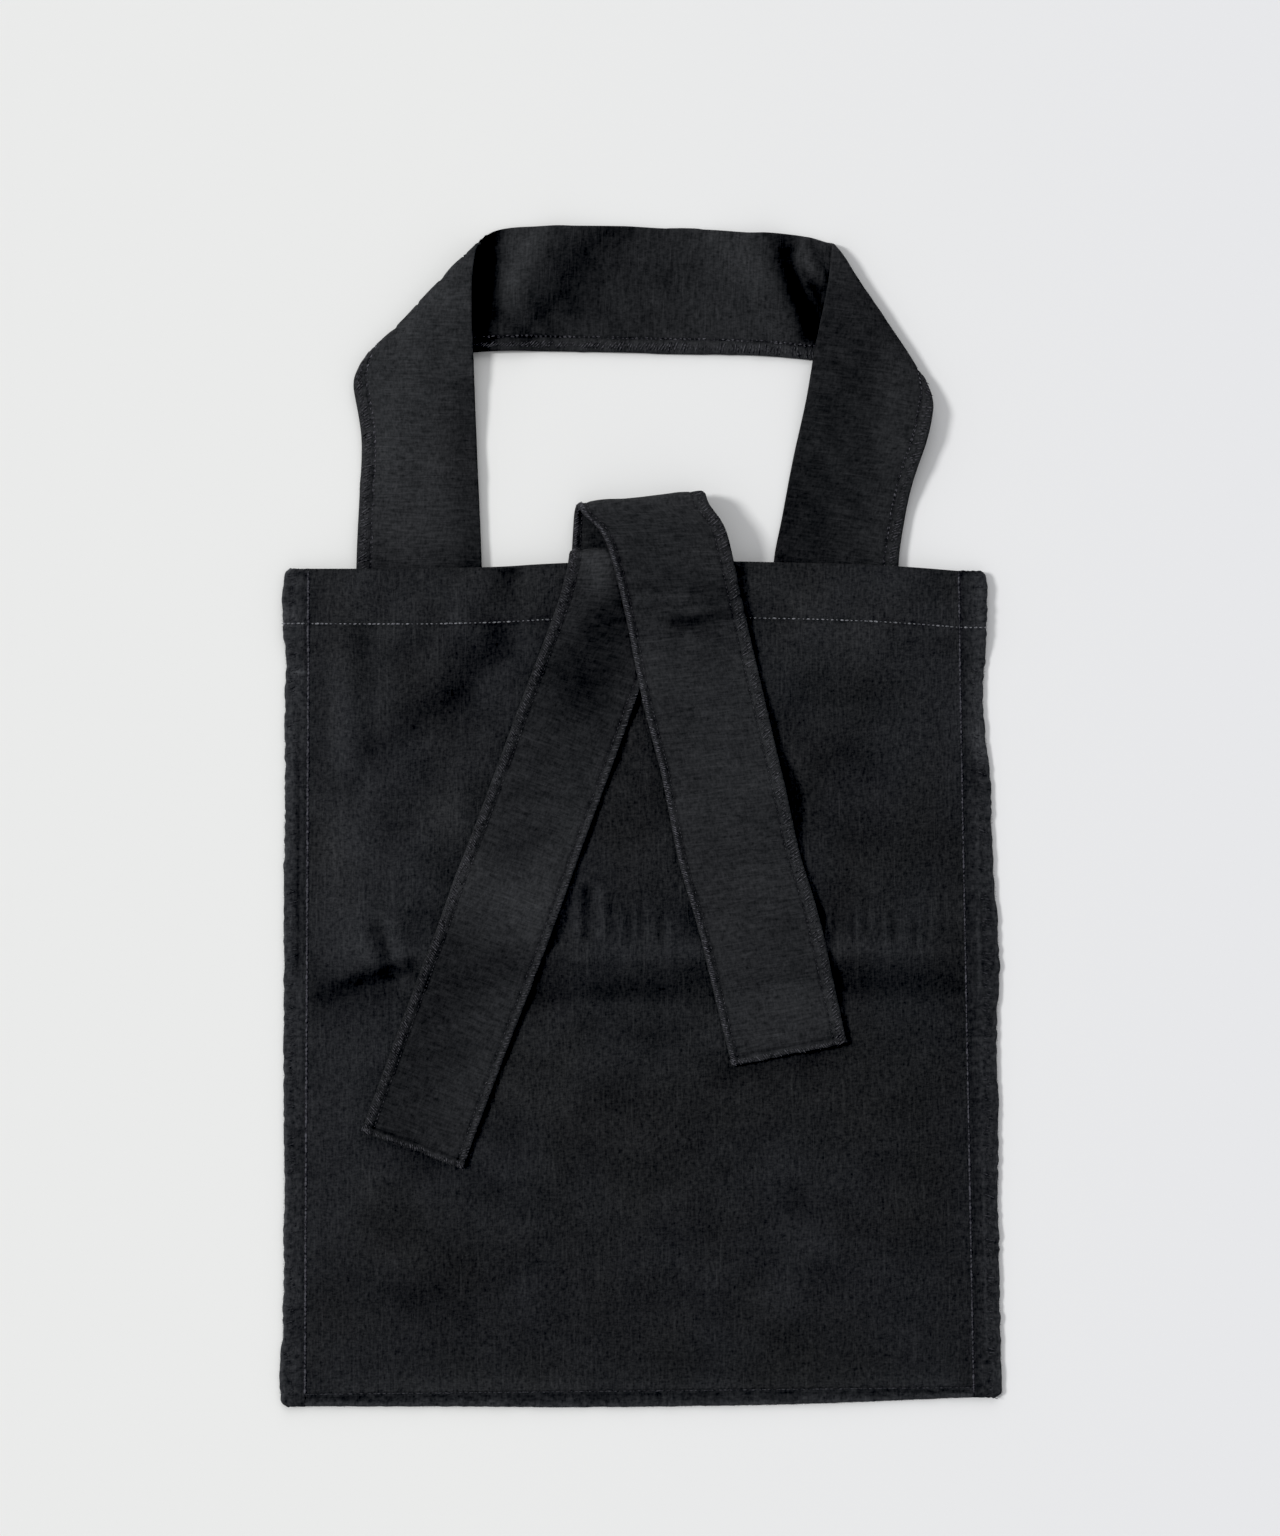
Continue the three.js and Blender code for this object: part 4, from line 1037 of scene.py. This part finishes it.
# Stitches and fibres, made by Geometry Nodes along lines on the cloth
def stitch_tree():
    """Places a short length of thread at every pitch along the lines, each turned by up to its skew."""
    tree = bpy.data.node_groups.new("stitches", "GeometryNodeTree")
    tree.interface.new_socket("Lines", in_out="INPUT", socket_type="NodeSocketGeometry")
    for size in ("Pitch", "Length", "Thickness", "Smallest", "Skew"):
        tree.interface.new_socket(size, in_out="INPUT", socket_type="NodeSocketFloat")
    tree.interface.new_socket("Seed", in_out="INPUT", socket_type="NodeSocketInt")
    tree.interface.new_socket("Thread", in_out="INPUT", socket_type="NodeSocketMaterial")
    tree.interface.new_socket("Made", in_out="OUTPUT", socket_type="NodeSocketGeometry")
    given = add(tree, "NodeGroupInput").outputs
    curve = add(tree, "GeometryNodeMeshToCurve", {"Mesh": given["Lines"]}).outputs["Curve"]
    spaced = {"Curve": curve, "Length": given["Pitch"]}
    even = add(tree, "GeometryNodeResampleCurve", spaced, mode="LENGTH").outputs["Curve"]
    ball = add(tree, "GeometryNodeMeshUVSphere", {"Segments": 6, "Rings": 5, "Radius": 0.5}).outputs["Mesh"]
    sides = {"X": given["Thickness"], "Y": given["Thickness"], "Z": given["Length"]}
    size = add(tree, "ShaderNodeCombineXYZ", sides).outputs["Vector"]
    shaped = add(tree, "GeometryNodeTransform", {"Geometry": ball, "Scale": size}).outputs["Geometry"]
    read = add(tree, "GeometryNodeInputNamedAttribute", {"Name": "way"}, data_type="FLOAT_VECTOR")
    along = {"Vector": read.outputs["Attribute"]}
    aligned = add(tree, "FunctionNodeAlignRotationToVector", along, axis="Z").outputs["Rotation"]
    back = add(tree, "ShaderNodeMath", {0: given["Skew"], 1: -1.0}, operation="MULTIPLY").outputs["Value"]
    turns = {0: back, 1: given["Skew"], "Seed": given["Seed"]}
    skew = add(tree, "FunctionNodeRandomValue", turns, data_type="FLOAT_VECTOR").outputs[0]
    both = {"Rotation": aligned, "Rotate By": skew}
    turned = add(tree, "FunctionNodeRotateRotation", both).outputs["Rotation"]
    shares = {2: given["Smallest"], 3: 1.15, "Seed": given["Seed"]}
    share = add(tree, "FunctionNodeRandomValue", shares, data_type="FLOAT").outputs[1]
    placing = {"Points": even, "Instance": shaped, "Rotation": turned, "Scale": share}
    sewn = add(tree, "GeometryNodeInstanceOnPoints", placing).outputs["Instances"]
    real = add(tree, "GeometryNodeRealizeInstances", {"Geometry": sewn}).outputs["Geometry"]
    dyed = {"Geometry": real, "Material": given["Thread"]}
    add(tree, "NodeGroupOutput", {"Made": add(tree, "GeometryNodeSetMaterial", dyed).outputs["Geometry"]})
    return tree


STITCHES = stitch_tree()


def stitches(name, lines, ways, material, seed, pitch, length, thickness, smallest=0.7, skew=0.16):
    """Runs the tree on lines of points in the bag's frame and keeps the result as a plain mesh."""
    values = {"Pitch": pitch * MM, "Length": length * MM, "Thickness": thickness * MM}
    values.update({"Smallest": smallest, "Skew": skew, "Seed": seed, "Thread": material})
    ways = ways or [np.gradient(line, axis=0) for line in lines]
    edges = []
    start = 0
    for line in lines:
        edges.extend((start + i, start + i + 1) for i in range(len(line) - 1))
        start += len(line)
    mesh = bpy.data.meshes.new(name + "_lines")
    mesh.from_pydata(placed(np.concatenate(lines)).tolist(), edges, [])
    way = mesh.attributes.new("way", "FLOAT_VECTOR", "POINT")
    ways = np.concatenate([np.broadcast_to(one, line.shape) for one, line in zip(ways, lines)])
    way.data.foreach_set("vector", ways.astype(np.float32).ravel())
    guide = shown(name + "_lines", mesh)
    modifier = guide.modifiers.new("made", "NODES")
    modifier.node_group = STITCHES
    for item in STITCHES.interface.items_tree:
        if item.item_type == "SOCKET" and item.in_out == "INPUT" and item.name in values:
            modifier[item.identifier] = values[item.name]
    bpy.context.view_layer.update()
    graph = bpy.context.evaluated_depsgraph_get()
    made = bpy.data.meshes.new_from_object(guide.evaluated_get(graph))
    made.name = name
    made.shade_smooth()
    bpy.data.objects.remove(guide)
    return shown(name, made)


def line_on_front(x, y, lift=0.05):
    """A line on top of the front, or of the seam strips beside it."""
    across = np.clip(panel_across(x, y), 0, 1)
    return np.stack([x, y, front_under(across, y) + CLOTH + lift], -1)


def strap_line(made, face, inset, lift):
    """A line along one face of a strap, at an inset from its first edge."""
    surface, across = made[face], made["across"]
    j = np.interp(inset, across, np.arange(len(across)))
    a = min(int(j), len(across) - 2)
    line = mix(surface[:, a], surface[:, a + 1], j - a)
    out = normals(surface)[:, a] * (lift if face == "top" else -lift)
    return (line + out)[2:-2]


def edge_threads(name, made, number, edge, slant, material, seed, pitch, smallest):
    """The threads that bind an edge of a strap: 0 its first side, 1 its last side, 2 its end."""
    lines, ways = [], []
    ridge, spread = edge[:2]
    width = made["across"][-1]
    for face in ("top", "under"):
        if number == 2:
            row = int(np.argmin(np.abs(made["tail"] - ridge)))
            line = made[face][row]
            across = made[face][-1] - made[face][row - 4]
        else:
            insets = [ridge - 1, ridge, ridge + 1]
            if number == 1:
                insets = [width - inset for inset in insets]
            outer, line, inner = (strap_line(made, face, inset, 0.05) for inset in insets)
            across = inner - outer
        lines.append(line)
        ways.append(unit(across) + slant * unit(np.gradient(line, axis=0)))
    length = 1.9 * spread + 0.7
    return stitches(name, lines, ways, material, seed, pitch, length, EDGE_THREAD, smallest)


# The hem's stitches cross the seam strips to the bag's edges; those down the sides sink in
hem_y = BAG_HEIGHT - HEM_DEPTH
hem_x = np.linspace(left_edge(hem_y) + 1.2, right_edge(hem_y) - 1.2, 420)
hem_across = np.clip(panel_across(hem_x, hem_y), 0, 1)
hem_line = line_on_front(hem_x, hem_fold_y(hem_across) - HEM_DEPTH + mix(1.8, 1, hem_across))
side_y = np.linspace(8, BAG_HEIGHT - 3, 400)
low_share = np.linspace(0.004, 0.996, 400)
low_y = bottom_seam_y(low_share) + 0.2
left_line = line_on_front(left_seam_x(side_y) + 0.2, side_y)
right_line = line_on_front(right_seam_x(side_y) - 0.2, side_y, 0)
low_line = line_on_front(panel_x(low_share, low_y), low_y, 0)
front_threads = [
    stitches(name, [line], None, material, seed, STITCH_PITCH, *size)
    for name, line, material, seed, size in (
        ("hem_stitches", hem_line, topstitch, 3, (STITCH_LENGTH, THREAD, 0.45)),
        ("left_side_stitches", left_line, side_thread, 4, (3.2, 1.4, 0.75)),
        ("right_side_stitches", right_line, side_thread, 6, (3, 1.2, 0.6)),
        ("bottom_stitches", low_line, seam_thread, 7, (3, 0.7, 0.6)),
    )
]
handle_insets = (HANDLE_EDGE[2], HANDLE_EDGE[2] + 0.7)
handle_lines = [
    strap_line(handle_strap, face, inset, 0.05) for face in ("top", "under") for inset in handle_insets
]
handle_threads = [
    stitches("handle_stitches", handle_lines, None, light_thread, 5, STITCH_PITCH, 1.7, 0.5, 0.3),
    edge_threads("handle_edge_threads", handle_strap, 0, HANDLE_EDGE, 0.5, edge_thread, 15, 1.5, 0.4),
]


def tie_threads(name, made, edges, first_thread, seed):
    """The rows of stitches along a tie's two sides, and the threads that bind its three edges."""
    insets = (edges[0][2], made["across"][-1] - edges[1][2])
    rows = [strap_line(made, face, inset, 0.02) for face in ("top", "under") for inset in insets]
    pieces = [stitches(name + "_stitches", rows, None, strap_stitch, seed, 2.2, 1.4, 0.5)]
    for number, side, material, pitch in (
        (0, "first", first_thread, 1.2),
        (1, "last", edge_thread, 1.6),
        (2, "end", edge_thread, 1.2),
    ):
        edge = (made, number, edges[number], EDGE_SLANT, material, seed + number + 1, pitch, 0.5)
        pieces.append(edge_threads(f"{name}_{side}_edge_threads", *edge))
    return pieces


left_threads = tie_threads("left_tie", left_tie, LEFT_TIE_EDGES, edge_thread, 16)
right_threads = tie_threads("right_tie", right_tie, RIGHT_TIE_EDGES, light_thread, 26)

strip_y = np.linspace(5, BAG_HEIGHT - 4, 300)
strip_height = edge_height(0, strip_y) + CLOTH + 0.1
strip_lines = [
    np.stack([mix(seam_x(strip_y), edge(strip_y), 0.66), strip_y, strip_height], -1)
    for seam_x, edge in ((left_seam_x, left_edge), (right_seam_x, right_edge))
]
strip_ways = [(1, 0.25, -0.04), (1, -0.25, 0.04)]
strip_threads = stitches("seam_edge_threads", strip_lines, strip_ways, seam_thread, 35, 1.7, 6, 0.5, 0.2)

fuzz_y = np.linspace(6, BAG_HEIGHT - 4, 300)
fuzz_share = np.linspace(0.01, 0.99, 300)
fuzz_low_y = bottom_y(fuzz_share)
fuzz_lines = [
    np.stack([x, y, np.full(300, FUZZ_HEIGHT)], -1)
    for x, y in (
        (left_edge(fuzz_y) + 0.5, fuzz_y),
        (right_edge(fuzz_y) - 0.5, fuzz_y),
        (panel_x(fuzz_share, fuzz_low_y), fuzz_low_y + 0.5),
    )
]
fuzz_ways = [(-1, 0, 0.3), (1, 0, 0.3), (0, -1, 0.3)]
seam_fuzz = stitches("seam_fuzz", fuzz_lines, fuzz_ways, fibre, 10, 0.5, 2, 0.14, 0.3, 0.8)
end_fuzz = []
for name, made, seed in (("left_tie_end_fuzz", left_tie, 8), ("right_tie_end_fuzz", right_tie, 9)):
    top = made["top"]
    end_fuzz.append(stitches(name, [top[-2]], [top[-1] - top[-8]], fibre, seed, 0.8, 2.4, 0.15, 0.3, 0.7))

# What each piece stands for, and the cloth that it was cut from
for piece, node, slot in (
    (front, "front_panel", "bag_cloth"),
    (back, "back_panel", "bag_cloth"),
    (left_strip, "left_side_seam", "seam_cloth"),
    (right_strip, "right_side_seam", "seam_cloth"),
    (bottom_strip, "bottom_seam", "seam_cloth"),
    (handle_strap["piece"], "handle", "strap_cloth"),
    (left_tie["piece"], "left_tie", "strap_cloth"),
    (right_tie["piece"], "right_tie", "strap_cloth"),
):
    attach(piece, "root")
    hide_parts(node)
for slot, pieces in (
    ("bag_cloth", front_threads),
    ("seam_cloth", [seam_fuzz, strip_threads]),
    ("strap_cloth", handle_threads + left_threads + right_threads + end_fuzz),
):
    for piece in pieces:
        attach(piece, "root")

# A pale table to lie on
floor_mesh = bpy.data.meshes.new("floor")
floor_mesh.from_pydata([(-30, -30, 0), (30, -30, 0), (30, 30, 0), (-30, 30, 0)], [], [(0, 1, 2, 3)])
floor = shown("floor", floor_mesh)
floor.location.z = -0.0003
paper, paper_tree, paper_shader = new_material("matt_backdrop_paper")
paper_place = add(paper_tree, "ShaderNodeTexCoord").outputs["Object"]
# Painted light: the paper runs from a lighter, warmer tone on the left, towards the key light, to a cooler
# one on the right
paper_side = add(paper_tree, "ShaderNodeSeparateXYZ", {"Vector": paper_place}).outputs["X"]
paper_limits = {"Value": paper_side, "From Min": -0.1, "From Max": 0.3}
paper_painted_falloff = add(paper_tree, "ShaderNodeMapRange", paper_limits).outputs["Result"]
paper_colours = {"Factor": paper_painted_falloff, 6: linear("ecedec"), 7: linear("e9eaec")}
paper_colour = add(paper_tree, "ShaderNodeMix", paper_colours, data_type="RGBA").outputs[2]
join(paper_tree, paper_shader, {"Base Color": paper_colour, "Roughness": 0.9, "Specular IOR Level": 0.2})
floor_mesh.materials.append(paper)

# Soft studio light from the left, a little fill from the handle's side, and even light all round
scene = bpy.context.scene


def sun(name, from_x, from_y, elevation, strength, spread, colour):
    light = bpy.data.lights.new(name, "SUN")
    light.energy = strength
    light.angle = math.radians(spread)
    light.color = colour
    rise = math.tan(math.radians(elevation)) * math.hypot(from_x, from_y)
    way = Vector((from_x, from_y, rise)).to_track_quat("Z", "Y")
    shown(name, light).rotation_euler = way.to_euler()


sun("key_light", -1, 0.17, 42, 1.85, 13, (1, 0.995, 0.985))
sun("fill_light", 0.1, 1, 35, 0.8, 50, (1, 1, 1))
world = bpy.data.worlds.new("studio")
world.use_nodes = True
world.node_tree.nodes["Background"].inputs["Color"].default_value = (0.985, 0.985, 1, 1)
world.node_tree.nodes["Background"].inputs["Strength"].default_value = 0.45
scene.world = world
scene.view_settings.view_transform = "Standard"

# The photograph's blacks are deep: its darkest tones are taken down to none
DEEPEST_TONE = 0.012
scene.view_settings.use_curve_mapping = True
scene.view_settings.curve_mapping.black_level = (DEEPEST_TONE,) * 3
scene.view_settings.curve_mapping.update()

# The camera looks straight down, as in the photograph
PHOTO_HEIGHT = 768
PHOTO_MIDDLE = (-0.58, 24.29)
camera = bpy.data.cameras.new("camera")
camera.lens = 85
camera.sensor_width = 36
eye = shown("camera", camera)
distance = PHOTO_HEIGHT * camera.lens / camera.sensor_width
eye.location = (PHOTO_MIDDLE[0] * MM, PHOTO_MIDDLE[1] * MM, distance * MM)
scene.camera = eye
